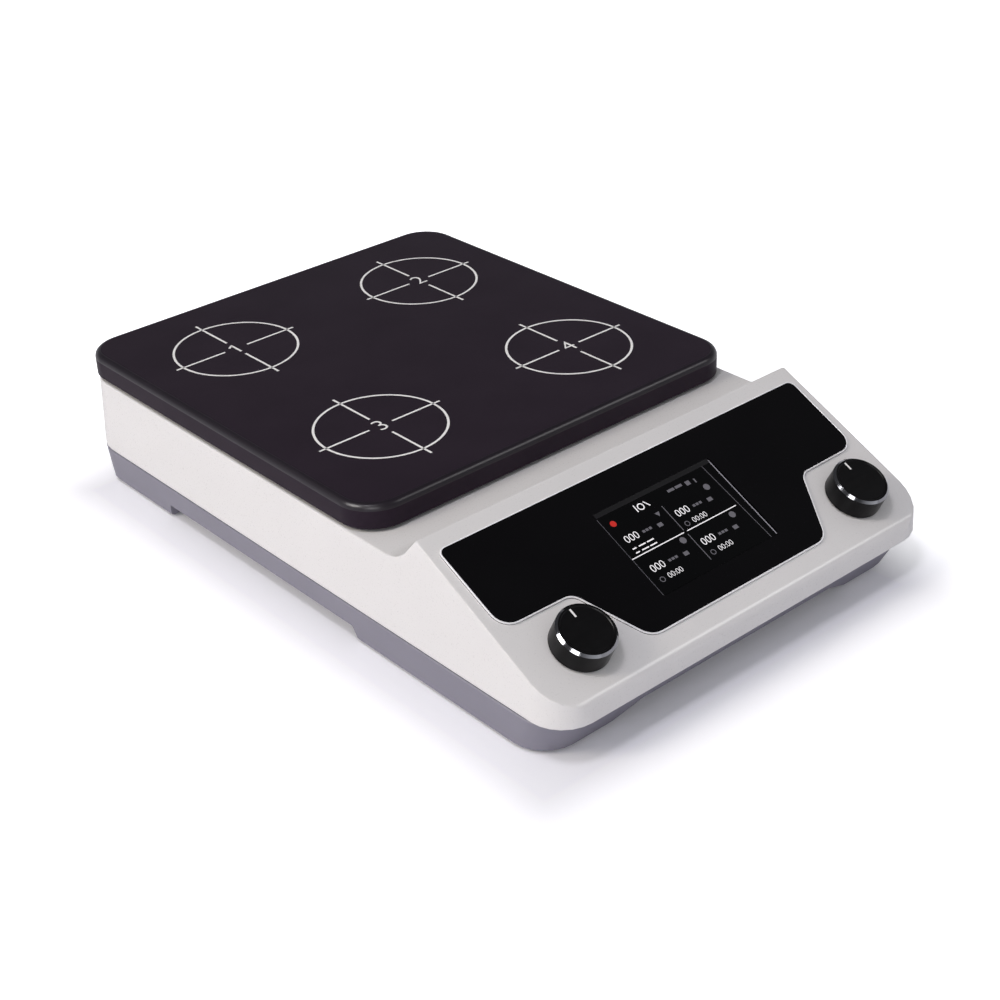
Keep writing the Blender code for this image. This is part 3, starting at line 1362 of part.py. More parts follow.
def fuse(parts, material):
    """Glass tube fuse with a cap on each end."""
    end, glass_end = FUSE_LENGTH / 2, FUSE_LENGTH / 2 - FUSE_CAP_LENGTH
    profile = [
        (0, end),
        (FUSE_CAP_RADIUS, end),
        (FUSE_CAP_RADIUS, glass_end),
        (FUSE_GLASS_RADIUS, glass_end),
        (FUSE_GLASS_RADIUS, -glass_end),
        (FUSE_CAP_RADIUS, -glass_end),
        (FUSE_CAP_RADIUS, -end),
        (0, -end),
    ]
    piece = settle(turned("fuse", profile, parts, 16), material)
    level = DRAWER_BOTTOM + DRAWER_FLOOR + FIT + FUSE_CAP_RADIUS
    piece.matrix_world = Matrix.Translation((INLET_X, fuse_y(), level)) @ LYING


def rocker_pivot():
    middle = INLET_BOTTOM + INLET_FLANGE_HEIGHT / 2
    return Vector((SWITCH_X, FLANGE_FACE_Y - ROCKER_PIVOT_DEPTH, middle))


def switch_frame(parts, cutters, material):
    """Frame of the power switch with the well and the pin holes of its rocker."""
    pivot = rocker_pivot()
    outline = rounded(switch_flange(), FLANGE_CORNER, FINE_STEPS)
    frame = flat("switch_frame", [outline], -FLANGE_FACE_Y, -REAR_FACE_Y - FIT, parts, ALONG_Y)
    near, far = -REAR_FACE_Y - 2 * FIT, -REAR_FACE_Y + SWITCH_DEPTH
    combine(frame, flat("switch_body", [switch_body()], near, far, cutters, ALONG_Y), "UNION")
    near, far = -BACK_Y - OVERRUN, -pivot.y + SWITCH_WELL_DEPTH
    combine(frame, flat("switch_well", [switch_well()], near, far, cutters, ALONG_Y))
    half = ROCKER_WIDTH / 2 + ROCKER_PIN_REACH + FIT
    holes = cylinder("rocker_pin_holes", ROCKER_PIN_RADIUS + FIT, -half, half, cutters, sides=12)
    holes.matrix_world = Matrix.Translation(pivot) @ LYING
    combine(frame, holes)
    settle(frame, material)


def power_rocker(parts, cutters, material):
    """Rocker on its two pins, modelled level and then tilted to its off end."""
    half, belly = ROCKER_LENGTH / 2, ROCKER_BELLY_LENGTH / 2
    outline = [
        (ROCKER_SIDE, -half),
        (ROCKER_WAIST, 0),
        (ROCKER_SIDE, half),
        (0, half),
        (-ROCKER_BELLY, belly),
        (-ROCKER_BELLY, -belly),
        (0, -half),
    ]
    rocker = flat("power_rocker", [outline], -ROCKER_WIDTH / 2, ROCKER_WIDTH / 2, parts, ALONG_X)
    reach = ROCKER_WIDTH / 2 + ROCKER_PIN_REACH
    pins = cylinder("rocker_pins", ROCKER_PIN_RADIUS, -reach, reach, cutters, sides=12)
    pins.matrix_world = LYING
    combine(rocker, pins, "UNION")
    settle(rocker, material)
    hold_in(rocker, Matrix())
    place = Matrix.Translation(rocker_pivot()) @ Matrix.Rotation(-ROCKER_SWING, 4, "X")
    rocker.matrix_world = place
    pins.matrix_world = place @ pins.matrix_world


def build():
    clear_scene()
    parts = collection("magnetic_stirrer")
    cutters = collection("cutters")
    cutters.hide_render = True
    white = finish("white_housing", "DEDCDD", 0.40)
    grey = finish("grey_tray", "8A8793", 0.45)
    black = finish("black_plate", "2A272C", 0.55)
    gloss = finish("black_gloss", "0C0A0F", 0.08)
    glass = finish("display_glass", "17161A", 0.10)
    knob_black = finish("knob_black", "1A191C", 0.35)
    rubber = finish("foot_rubber", "1C1C1D", 0.80)
    steel = finish("steel", "A9ABAE", 0.30, 1)
    plated = finish("plated_brass", "C8C2A8", 0.25, 1)
    magnet = finish("nickel_magnet", "B9B7B2", 0.20, 1)
    board = finish("circuit_board", "1F5A36", 0.50)
    plastic = finish("black_plastic", "202023", 0.50)
    holder = finish("holder_aluminium", "B5B7BA", 0.35, 1)
    cable = finish("cable_grey", "77787C", 0.55)
    fuse_glass = finish("fuse_glass", "C9CDCB", 0.10)

    upper_housing(parts, cutters, white)
    base_tray(parts, cutters, grey)
    feet(parts, rubber)
    screws(parts, steel)
    top_plate(parts, cutters, black)
    plate_frame(parts, cutters, plastic)
    control_overlay(parts, gloss)
    display_lens(parts, glass)
    display_module(parts, cutters, plastic)
    control_board(parts, board)
    for side, sign in SIDES:
        encoder(side, sign, parts, cutters, {"plastic": plastic, "plated": plated, "steel": steel})
        knob(side, sign, parts, knob_black)
    for number, place in enumerate(STATIONS, 1):
        stir_motor(number, place, parts, steel)
        magnet_holder(number, place, parts, cutters, holder)
        magnets(number, place, parts, magnet)
    drive_plate(parts, cutters, steel)
    main_board(parts, cutters, board)
    power_supply(parts, steel)
    panel_cable(parts, cable)
    leads(parts, cable)
    mains_inlet(parts, cutters, plastic)
    inlet_blades(parts, plated)
    fuse_drawer(parts, cutters, plastic)
    fuse(parts, fuse_glass)
    switch_frame(parts, cutters, plastic)
    power_rocker(parts, cutters, plastic)


build()
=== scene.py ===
"""A four-position magnetic stirrer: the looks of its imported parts, in metres."""

import json
import math

import bmesh
import bpy
from mathutils import Matrix, Vector

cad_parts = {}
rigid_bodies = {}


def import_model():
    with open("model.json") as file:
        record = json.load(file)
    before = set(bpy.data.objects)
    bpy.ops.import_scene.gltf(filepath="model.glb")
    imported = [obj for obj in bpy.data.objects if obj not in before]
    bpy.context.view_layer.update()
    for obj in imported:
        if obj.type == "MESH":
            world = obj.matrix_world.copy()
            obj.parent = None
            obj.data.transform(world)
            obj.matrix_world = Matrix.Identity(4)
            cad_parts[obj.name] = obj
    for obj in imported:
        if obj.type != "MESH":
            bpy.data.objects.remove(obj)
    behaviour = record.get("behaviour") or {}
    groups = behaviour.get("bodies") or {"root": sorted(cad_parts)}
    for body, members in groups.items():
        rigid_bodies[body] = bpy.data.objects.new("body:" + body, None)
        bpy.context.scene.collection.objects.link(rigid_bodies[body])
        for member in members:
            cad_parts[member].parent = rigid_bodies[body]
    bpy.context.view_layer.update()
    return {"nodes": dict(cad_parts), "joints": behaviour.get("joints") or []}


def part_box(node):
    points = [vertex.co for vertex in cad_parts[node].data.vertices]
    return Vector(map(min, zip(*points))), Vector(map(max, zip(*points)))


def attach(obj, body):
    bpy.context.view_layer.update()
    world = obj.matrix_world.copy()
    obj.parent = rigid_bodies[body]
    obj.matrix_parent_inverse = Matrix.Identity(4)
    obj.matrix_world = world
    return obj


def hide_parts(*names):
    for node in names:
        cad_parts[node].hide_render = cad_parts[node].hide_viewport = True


for leftover in list(bpy.data.objects):
    bpy.data.objects.remove(leftover)
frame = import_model()
NODES = frame["nodes"]
JOINTS = {joint["name"]: joint for joint in frame["joints"]}

# Camera: where it aims, how it looks there, and its lens
AIM = Vector((0.00973, 0.00073, 0.00498))
CAMERA_DISTANCE = 0.87777
CAMERA_AZIMUTH = math.radians(-39.932)
CAMERA_ELEVATION = math.radians(30.082)
CAMERA_ROLL = math.radians(-2.546)
SENSOR_WIDTH = 36
LENS = 65.673

# Work plate and the marks printed on it
PLATE_CORNER = 0.0180
PLATE_EDGE = 0.0030
PLATE_CHAMFER = 0.0004
SKIRT_WALL = 0.0030
SKIRT_DEPTH = 0.0050
STATION_SPACING = 0.1140
STATION_SIGNS = ((-1, 1), (1, 1), (-1, -1), (1, -1))
RING_RADIUS = 0.0300
RING_WIDTH = 0.00115
ARM_WIDTH = 0.0011
ARM_ENDS_X = (0.0064, 0.0338)
ARM_ENDS_Y = (0.0082, 0.0356)
NUMERAL_SIZE = 0.0135
NUMERAL_THINNING = 0.00012
ONE_HEIGHT = 0.0092
ONE_FLAG_SHARE = 0.28
PRINT_RISE = 0.00004
PRINT_SINK = 0.00002

# Housing and base tray
MERGE_DISTANCE = 0.000002
FLAT_ANGLE = math.radians(0.2)
LIP_EDGE = 0.0007

# Control panel, from the knobs' own axis
KNOB_PLACE = 0.0718
KNOB_SPREAD = 0.1640
OVERLAY_TOP = 0.0008
OVERLAY_EDGE = 0.0003
WINDOW_BORDER = 0.0020
BEAD_RADIUS = 0.0004
BEAD_LEVEL = 0.00055
LENS_TOP = 0.0004
KNOB_RADIUS = 0.0130
KNOB_TOP_RADIUS = 0.01285
KNOB_LIFT = 0.0010
KNOB_HEIGHT = 0.01125
KNOB_RIM = 0.0010
KNOB_DISH = 0.0003
KNOB_RECESS_RADIUS = 0.0075
KNOB_RECESS_DEPTH = 0.0035
KNOB_BORE_RADIUS = 0.0033
KNOB_ROOF = 0.0022
POINTER_LENGTH = 0.0040
POINTER_WIDTH = 0.0009
SIDES = (("left", -1), ("right", 1))

# Display picture, in millimetres: x across and v down the panel's slope from its ridge
MM = 0.001
FIGURE_THINNING = 0.00006
QUARTER_START = (-26.4, 41.6)
QUARTER_PITCH = (29.9, 16.7)
DASH_LEVELS = (46.5, 48.7)
DASHES = ((-30.3, 2.1), (-26.8, 3.9), (-22.1, 3.9))

# Studio: the floor's own glow grows from the object outwards, which paints shade on the floor round the
# object, over its cast shadow
FLOOR_SIZE = 12
FLOOR_COLOUR = "F4F3F8"
FLOOR_GLOW = (0.0, 0.8)
GLOW_REACH = (-0.005, 0.055)
GLOSS_SHARE = 0.2
GLOW_MIDDLE = (-0.015, -0.008, 0)
GLOW_HALF_SIZE = (0.1065, 0.1664, 0)
SKY_TINT = "F8FAFF"
SKY_SIDES = (0.45, -0.8)
SKY_LEVELS = (0.25, 0.84)
BACKDROP_HEIGHTS = (0.02, 0.35)
CEILING = 0.1
# Name, place, width, power, tint and whether it lights surfaces or only shows in their gloss
LAMPS = (
    ("left_softbox", (-1.35, 0.2, 1.1), 0.45, 6.8, "FFF6E4", True),
    ("top_softbox", (-0.6, -0.3, 1.45), 0.3, 5.0, "FBF9FF", True),
    ("left_spark", (-1.3, 0.25, 1.15), 0.9, 24.0, "FFFFFF", False),
    ("front_spark", (-1.0, -1.0, 0.75), 0.6, 8.0, "FFFFFF", False),
    ("right_spark", (0.9, -0.8, 1.05), 0.6, 4.6, "FFFFFF", False),
)

# Power switch
ROCKER_REST_ANGLE = math.radians(-12)
ROCKER_SIDE = 0.0032
ROCKER_WAIST = 0.0016
ROCKER_HALF = 0.0075
ROCKER_MARK = 0.0032
ROCKER_LINE = 0.0006


def linear(code):
    """The linear colour of a six-digit sRGB hex value."""
    values = [int(code[place : place + 2], 16) / 255 for place in (0, 2, 4)]
    return (*[v / 12.92 if v <= 0.04045 else ((v + 0.055) / 1.055) ** 2.4 for v in values], 1)


# Materials


def add_node(tree, kind, inputs=None, **settings):
    """Add a node: an input given a socket is linked to it, and any other is set."""
    made = tree.nodes.new(kind)
    for name, value in settings.items():
        setattr(made, name, value)
    for name, value in (inputs or {}).items():
        if isinstance(value, bpy.types.NodeSocket):
            tree.links.new(value, made.inputs[name])
        else:
            made.inputs[name].default_value = value
    return made


def start_material(name, **values):
    """A material, its node tree, its shader and the place on the piece in object coordinates."""
    material = bpy.data.materials.new(name)
    material.use_nodes = True
    tree = material.node_tree
    shader = tree.nodes["Principled BSDF"]
    for socket, value in values.items():
        shader.inputs[socket.replace("_", " ")].default_value = value
    place = add_node(tree, "ShaderNodeTexCoord").outputs["Object"]
    return material, tree, shader, place


def mottled(tree, place, low, high, size):
    """A colour that drifts between two hex values over a distance."""
    noise = add_node(tree, "ShaderNodeTexNoise", {"Vector": place, "Scale": 1 / size, "Detail": 3})
    ramp = add_node(tree, "ShaderNodeValToRGB", {"Fac": noise.outputs["Fac"]})
    ramp.color_ramp.elements[0].position = 0.35
    ramp.color_ramp.elements[1].position = 0.65
    ramp.color_ramp.elements[0].color = linear(low)
    ramp.color_ramp.elements[1].color = linear(high)
    return ramp.outputs["Color"]


def grain(tree, shader, place, size, strength, depth=0.00002):
    """A bump of even grain of a size."""
    noise = add_node(tree, "ShaderNodeTexNoise", {"Vector": place, "Scale": 1 / size, "Detail": 2})
    inputs = {"Height": noise.outputs["Fac"], "Strength": strength, "Distance": depth}
    bump = add_node(tree, "ShaderNodeBump", inputs)
    tree.links.new(bump.outputs["Normal"], shader.inputs["Normal"])
    return noise.outputs["Fac"]


def rough_between(tree, shader, source, low, high):
    """A roughness that follows a pattern between two values."""
    spread = add_node(tree, "ShaderNodeMapRange", {"Value": source, "To Min": low, "To Max": high})
    tree.links.new(spread.outputs["Result"], shader.inputs["Roughness"])


def moulded_plastic(name, low, high, grain_size, roughness, bump=0.25):
    """Plastic from a spark-eroded mould: satin, with a fine even grain and a slight drift of colour."""
    material, tree, shader, place = start_material(name, IOR=1.54)
    tree.links.new(mottled(tree, place, low, high, 0.05), shader.inputs["Base Color"])
    pattern = grain(tree, shader, place, grain_size, bump)
    rough_between(tree, shader, pattern, roughness - 0.02, roughness + 0.02)
    return material


def powder_coated_aluminium(name, low, high, gloss, roughness):
    """Aluminium plate under black powder coat: deep matt black with a soft orange peel."""
    material, tree, shader, place = start_material(name, IOR=1.5, Specular_IOR_Level=gloss)
    tree.links.new(mottled(tree, place, low, high, 0.03), shader.inputs["Base Color"])
    # The peel is drawn at 0.8 mm, about twice the real one, so that it shows.
    pattern = grain(tree, shader, place, 0.0008, 0.2)
    rough_between(tree, shader, pattern, roughness - 0.05, roughness + 0.05)
    return material


def polished_acrylic(name, low, high, roughness):
    """Acrylic sheet printed black behind: mirror-smooth, with faint wiping marks in its gloss."""
    material, tree, shader, place = start_material(name, IOR=1.49, Specular_IOR_Level=0.35)
    tree.links.new(mottled(tree, place, low, high, 0.04), shader.inputs["Base Color"])
    stretched = add_node(tree, "ShaderNodeMapping", {"Vector": place, "Scale": (1, 6, 6)})
    inputs = {"Vector": stretched.outputs["Vector"], "Scale": 40, "Detail": 4}
    wipes = add_node(tree, "ShaderNodeTexNoise", inputs)
    rough_between(tree, shader, wipes.outputs["Fac"], roughness, roughness * 2)
    return material


def printed_ink(name, low, high, roughness=0.5):
    """Screen-printed ink: an even matt film with the dots of its mesh just showing. It also paints the
    highlights on the display window's edges.
    """
    material, tree, shader, place = start_material(name, IOR=1.5)
    tree.links.new(mottled(tree, place, low, high, 0.0006), shader.inputs["Base Color"])
    pattern = grain(tree, shader, place, 0.0003, 0.1)
    rough_between(tree, shader, pattern, roughness - 0.05, roughness + 0.05)
    return material


def lit_pixels(name, code, level):
    """A lit part of a liquid-crystal display: an even glow, crossed by the gaps of its pixels."""
    material, tree, shader, place = start_material(name, Roughness=0.3, Emission_Strength=level)
    # The pixel pitch is 0.15 mm.
    checks = {"Vector": place, "Scale": 1 / 0.00015, "Color1": linear(code)}
    checks["Color2"] = (*[0.8 * value for value in linear(code)[:3]], 1)
    pixels = add_node(tree, "ShaderNodeTexChecker", checks)
    tree.links.new(pixels.outputs["Color"], shader.inputs["Base Color"])
    tree.links.new(pixels.outputs["Color"], shader.inputs["Emission Color"])
    return material


def turned_metal(name, low, high, roughness, line_pitch=0.0003, metallic=1.0, bump=0.15, gloss=0.5):
    """Metal from a lathe or a brush: fine parallel lines that stretch its highlights."""
    material, tree, shader, place = start_material(name, Metallic=metallic, Specular_IOR_Level=gloss)
    tree.links.new(mottled(tree, place, low, high, 0.006), shader.inputs["Base Color"])
    stretched = add_node(tree, "ShaderNodeMapping", {"Vector": place, "Scale": (0.02, 0.02, 1)})
    inputs = {"Vector": stretched.outputs["Vector"], "Scale": 1 / line_pitch, "Detail": 2}
    lines = add_node(tree, "ShaderNodeTexNoise", inputs)
    inputs = {"Height": lines.outputs["Fac"], "Strength": bump, "Distance": 0.00001}
    relief = add_node(tree, "ShaderNodeBump", inputs)
    tree.links.new(relief.outputs["Normal"], shader.inputs["Normal"])
    rough_between(tree, shader, lines.outputs["Fac"], roughness * 0.8, roughness * 1.25)
    return material


HOUSING_ABS = moulded_plastic("moulded_white_abs", "E4E1E0", "E6E3E2", 0.0007, 0.28, 0.03)
TRAY_ABS = moulded_plastic("moulded_grey_abs", "7E7B88", "83808D", 0.0007, 0.48)
# The plate frame's black is the colour of its moulding and also painted shade: the frame fills the
# shadowed gap under the plate.
FRAME_ABS_AND_SHADE = moulded_plastic("moulded_black_abs", "19181A", "1D1C1E", 0.0007, 0.55)
PLATE_COAT = powder_coated_aluminium("powder_coated_aluminium", "281F29", "2B222C", 0.06, 0.42)
EDGE_COAT = powder_coated_aluminium("powder_coat_over_a_round_edge", "1F1921", "221C24", 0.35, 0.32)
OVERLAY_ACRYLIC = polished_acrylic("polished_black_acrylic", "050406", "070608", 0.06)
# The overlay's pale outline and bead are a painted highlight: a white that stands in for light caught
# along the film's cut edge.
EDGE_HIGHLIGHT_PAINT = moulded_plastic("cut_clear_acrylic_edge", "F4F2F4", "FAF8FA", 0.0007, 0.2, 0.05)
DISPLAY_ACRYLIC = polished_acrylic("polished_display_acrylic", "020203", "040405", 0.05)
STRIP_INK = printed_ink("screen_printed_grey_ink", "121114", "161518", 0.3)
# The pale and the grey lines on the display window's edges are painted highlights, where those edges
# catch the light.
PALE_EDGE_HIGHLIGHT_PAINT = printed_ink("screen_printed_pale_ink", "9A98A0", "A4A2AA", 0.3)
GREY_EDGE_HIGHLIGHT_PAINT = printed_ink("screen_printed_middle_grey_ink", "5A585E", "646268", 0.3)
MARK_INK = printed_ink("screen_printed_white_ink", "F2F0EE", "FAF8F6")
KNOB_ANODISED = turned_metal(
    "black_anodised_aluminium", "09080A", "0C0B0D", 0.32, metallic=0.1, gloss=0.15
)
CUT_ALUMINIUM = turned_metal("diamond_cut_aluminium", "8C8C90", "96969A", 0.1, 0.0001, bump=0.05)
ZINC_STEEL = turned_metal("zinc_plated_steel", "A3A5A8", "B3B5B8", 0.32)
TURNED_ALUMINIUM = turned_metal("turned_aluminium", "B4B6B9", "C2C4C7", 0.3)
NICKEL = turned_metal("nickel_plated_magnet", "B6B3AC", "C4C1BA", 0.2)
TINNED_BRASS = turned_metal("tinned_brass", "C4BFA6", "D0CBB4", 0.25)
RUBBER = moulded_plastic("moulded_nitrile_rubber", "19191A", "1F1F20", 0.0005, 0.8, 0.5)
INLET_NYLON = moulded_plastic("moulded_black_nylon", "1B1B1D", "202022", 0.0005, 0.45)
LEAD_PVC = moulded_plastic("extruded_grey_pvc", "6F7074", "77787C", 0.0012, 0.5, 0.1)
BOARD_MASK = moulded_plastic("green_solder_mask", "1B5232", "246241", 0.0009, 0.35, 0.4)
LIT_WHITE = lit_pixels("lit_white_pixels", "E4E2E4", 0.7)
LIT_GREY = lit_pixels("lit_grey_pixels", "5E5C62", 0.5)
LIT_RED = lit_pixels("lit_red_pixels", "B3231C", 0.6)

FINISHES = {
    "upper_housing": HOUSING_ABS,
    "base_tray": TRAY_ABS,
    "foot": RUBBER,
    "base_screw": ZINC_STEEL,
    "frame_screw": ZINC_STEEL,
    "top_plate": PLATE_COAT,
    "plate_frame": FRAME_ABS_AND_SHADE,
    "control_overlay": OVERLAY_ACRYLIC,
    "display_lens": DISPLAY_ACRYLIC,
    "display_module": INLET_NYLON,
    "control_board": BOARD_MASK,
    "main_board": BOARD_MASK,
    "encoder_body": INLET_NYLON,
    "encoder_plunger": INLET_NYLON,
    "encoder_nut": TINNED_BRASS,
    "encoder_shaft": ZINC_STEEL,
    "knob": KNOB_ANODISED,
    "stir_motor": ZINC_STEEL,
    "magnet_holder": TURNED_ALUMINIUM,
    "magnet": NICKEL,
    "drive_plate": ZINC_STEEL,
    "power_supply": ZINC_STEEL,
    "panel_cable": LEAD_PVC,
    "mains_lead": LEAD_PVC,
    "switch_lead": LEAD_PVC,
    "mains_inlet": INLET_NYLON,
    "inlet_blade": TINNED_BRASS,
    "fuse_drawer": INLET_NYLON,
    "fuse": NICKEL,
    "switch_frame": INLET_NYLON,
    "power_rocker": INLET_NYLON,
}


def finish_of(node):
    """The finish whose name starts the node's name, the longest where several do."""
    return FINISHES[max((name for name in FINISHES if node.startswith(name)), key=len)]


for name, node in NODES.items():
    for slot in node.material_slots:
        slot.material = finish_of(name)

# Modelling


def deselect():
    bpy.ops.object.select_all(action="DESELECT")


def choose(obj):
    """Select one object alone and make it active."""
    deselect()
    obj.select_set(True)
    bpy.context.view_layer.objects.active = obj
    return obj


def named(name, *materials):
    """Name the object that an operator has just made, and give it its materials."""
    obj = bpy.context.active_object
    obj.name = name
    obj.data.name = name
    obj.data.materials.clear()
    for material in materials:
        obj.data.materials.append(material)
    return obj


def pick(obj, kind, test):
    """In edit mode, select the vertices, edges or faces that pass a test."""
    bpy.ops.mesh.select_mode(type={"verts": "VERT", "edges": "EDGE", "faces": "FACE"}[kind])
    bpy.ops.mesh.select_all(action="DESELECT")
    shape = bmesh.from_edit_mesh(obj.data)
    shape.normal_update()
    for item in getattr(shape, kind):
        if test(item):
            item.select_set(True)
    bmesh.update_edit_mesh(obj.data)


def lies_at(item, height, tolerance=0.00001):
    """Whether an edge or a face lies level at a height."""
    return all(abs(vertex.co.z - height) < tolerance for vertex in item.verts)


def stands(edge):
    """Whether an edge stands upright."""
    along = edge.verts[0].co - edge.verts[1].co
    return abs(along.z) > along.length / 2


def settle(obj, angle=30):
    """Give a piece its place in its mesh and smooth shading that keeps flat faces flat."""
    choose(obj)
    for modifier in list(obj.modifiers):
        bpy.ops.object.modifier_apply(modifier=modifier.name)
    bpy.ops.object.transform_apply(location=True, rotation=True, scale=True)
    bpy.ops.object.shade_smooth_by_angle(angle=math.radians(angle))
    for modifier in list(obj.modifiers):
        bpy.ops.object.modifier_apply(modifier=modifier.name)
    weighted = obj.modifiers.new("Flat faces", "WEIGHTED_NORMAL")
    weighted.keep_sharp = True
    bpy.ops.object.modifier_apply(modifier=weighted.name)
    deselect()
    return obj


def carry(obj, body, slot, *nodes):
    """Let a piece ride on a body and stand for CAD nodes, which it hides; its slot is not used."""
    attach(obj, body)
    if nodes:
        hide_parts(*nodes)
    return obj


def join(pieces):
    """Join pieces into the first one."""
    deselect()
    for piece in pieces:
        piece.select_set(True)
    bpy.context.view_layer.objects.active = pieces[0]
    bpy.ops.object.join()
    return pieces[0]


def smooth_copy(node, name, *materials):
    """A copy of a CAD node whose loose triangles are merged into whole faces, left in edit mode."""
    piece = bpy.data.objects.new(name, NODES[node].data.copy())
    bpy.context.scene.collection.objects.link(piece)
    choose(piece)
    named(name, *materials)
    bpy.ops.mesh.customdata_custom_splitnormals_clear()
    bpy.ops.object.mode_set(mode="EDIT")
    bpy.ops.mesh.select_all(action="SELECT")
    bpy.ops.mesh.remove_doubles(threshold=MERGE_DISTANCE)
    bpy.ops.mesh.dissolve_limited(angle_limit=FLAT_ANGLE)
    return piece


# Flat prints, drawn level and then laid on what carries them


def bar(material, start, end, width):
    """Straight printed line between two points."""
    start, end = Vector(start), Vector(end)
    along = end - start
    deselect()
    turn = math.atan2(along.y, along.x)
    bpy.ops.mesh.primitive_plane_add(size=1, location=(*(start + end) / 2, 0), rotation=(0, 0, turn))
    piece = named("bar", material)
    piece.scale = (along.length, width, 1)
    bpy.ops.object.transform_apply(location=True, rotation=True, scale=True)
    return piece


def ring(material, place, radius, width, sides=96):
    """Printed circle of a line width, round its middle radius."""
    deselect()
    centre = (*place, 0)
    bpy.ops.mesh.primitive_circle_add(vertices=sides, radius=radius + width / 2, location=centre)
    piece = named("ring", material)
    bpy.ops.object.mode_set(mode="EDIT")
    bpy.ops.mesh.select_all(action="SELECT")
    bpy.ops.mesh.extrude_edges_move()
    share = (radius - width / 2) / (radius + width / 2)
    bpy.ops.transform.resize(value=(share, share, 1), center_override=centre)
    bpy.ops.object.mode_set(mode="OBJECT")
    bpy.ops.object.transform_apply(location=True, rotation=True, scale=True)
    return piece


def spot(material, place, radius, sides=24, turn=0):
    """Printed dot, or a small polygon with few sides."""
    deselect()
    bpy.ops.mesh.primitive_circle_add(
        vertices=sides, radius=radius, fill_type="NGON", location=(*place, 0), rotation=(0, 0, turn)
    )
    piece = named("spot", material)
    bpy.ops.object.transform_apply(location=True, rotation=True, scale=True)
    return piece


def figures(material, words, place, size, thinning=0.0):
    """Printed figures round a middle point."""
    deselect()
    bpy.ops.object.text_add(location=(*place, 0))
    text = bpy.context.active_object
    text.data.body = words
    text.data.size = size
    text.data.offset = -thinning
    text.data.align_x, text.data.align_y = "CENTER", "CENTER"
    bpy.ops.object.convert(target="MESH")
    piece = named("figures", material)
    bpy.ops.object.transform_apply(location=True, rotation=True, scale=True)
    return piece


def printed(name, pieces, surface, body, slot):
    """Join flat pieces into one print, give it its thickness and lay it on a surface."""
    mark = join(pieces)
    mark.name = mark.data.name = name
    bpy.ops.object.mode_set(mode="EDIT")
    pick(mark, "faces", lambda face: face.normal.z < 0)
    bpy.ops.mesh.flip_normals()
    bpy.ops.object.mode_set(mode="OBJECT")
    solid = mark.modifiers.new("Thickness", "SOLIDIFY")
    solid.thickness = PRINT_RISE + PRINT_SINK
    solid.offset = (PRINT_RISE - PRINT_SINK) / (PRINT_RISE + PRINT_SINK)
    bpy.ops.object.modifier_apply(modifier=solid.name)
    mark.matrix_world = surface
    return carry(settle(mark), body, slot)


# Work plate


def work_plate():
    """Square plate with round corners, a rounded upper edge and a skirt round its hollow underside."""
    low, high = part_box("top_plate")
    deselect()
    bpy.ops.mesh.primitive_cube_add(size=1, location=(low + high) / 2)
    plate = named("work_plate", PLATE_COAT, EDGE_COAT)
    bpy.ops.transform.resize(value=high - low)
    bpy.ops.object.transform_apply(location=True, rotation=True, scale=True)
    bpy.ops.object.mode_set(mode="EDIT")
    pick(plate, "edges", stands)
    bpy.ops.mesh.bevel(offset=PLATE_CORNER, segments=16, affect="EDGES")
    pick(plate, "edges", lambda edge: lies_at(edge, high.z))
    bpy.ops.mesh.bevel(offset=PLATE_EDGE, segments=8, affect="EDGES", material=1)
    pick(plate, "faces", lambda face: lies_at(face, low.z))
    bpy.ops.mesh.inset(thickness=SKIRT_WALL)
    bpy.ops.mesh.extrude_region_move(TRANSFORM_OT_translate={"value": (0, 0, SKIRT_DEPTH)})
    pick(plate, "edges", lambda edge: lies_at(edge, low.z))
    bpy.ops.mesh.bevel(offset=PLATE_CHAMFER, segments=2, affect="EDGES")
    bpy.ops.object.mode_set(mode="OBJECT")
    return carry(settle(plate), "base", "plate_black", "top_plate")


def station_mark(number, x, y, top):
    """Printed ring with a broken cross and the station's number in its middle."""
    pieces = [ring(MARK_INK, (0, 0), RING_RADIUS, RING_WIDTH, 160)]
    for sign in (-1, 1):
        near, far = ARM_ENDS_X
        pieces.append(bar(MARK_INK, (sign * near, 0), (sign * far, 0), ARM_WIDTH))
        near, far = ARM_ENDS_Y
        pieces.append(bar(MARK_INK, (0, sign * near), (0, sign * far), ARM_WIDTH))
    if number == 1:
        half, flag = ONE_HEIGHT / 2, ONE_HEIGHT * ONE_FLAG_SHARE
        pieces.append(bar(MARK_INK, (0, -half), (0, half), ARM_WIDTH))
        pieces.append(bar(MARK_INK, (0, half - ARM_WIDTH / 2), (-flag, half - flag), ARM_WIDTH))
    else:
        pieces.append(figures(MARK_INK, str(number), (0, 0), NUMERAL_SIZE, NUMERAL_THINNING))
    surface = Matrix.Translation((x, y, top))
    return printed(f"station_mark_{number}", pieces, surface, "base", "plate_black")


# Housing and base tray


def outward(edge):
    """Whether an edge borders an upright face that looks away from the middle."""
    middle = (edge.verts[0].co + edge.verts[1].co) / 2
    away = Vector((middle.x, middle.y, 0)).normalized()
    return any(face.normal.dot(away) > 0.3 and abs(face.normal.z) < 0.3 for face in edge.link_faces)


def housing_shell():
    """White shell with an eased lower lip."""
    shell = smooth_copy("upper_housing", "housing_shell", HOUSING_ABS)
    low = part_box("upper_housing")[0].z
    pick(shell, "edges", lambda edge: lies_at(edge, low) and outward(edge))
    bpy.ops.mesh.bevel(offset=LIP_EDGE, segments=3, affect="EDGES")
    bpy.ops.object.mode_set(mode="OBJECT")
    return carry(settle(shell), "base", "housing_abs", "upper_housing")


def tray_shell():
    """Grey base tray with its legs."""
    shell = smooth_copy("base_tray", "tray_shell", TRAY_ABS)
    bpy.ops.object.mode_set(mode="OBJECT")
    return carry(settle(shell), "base", "tray_abs", "base_tray")


# Control panel


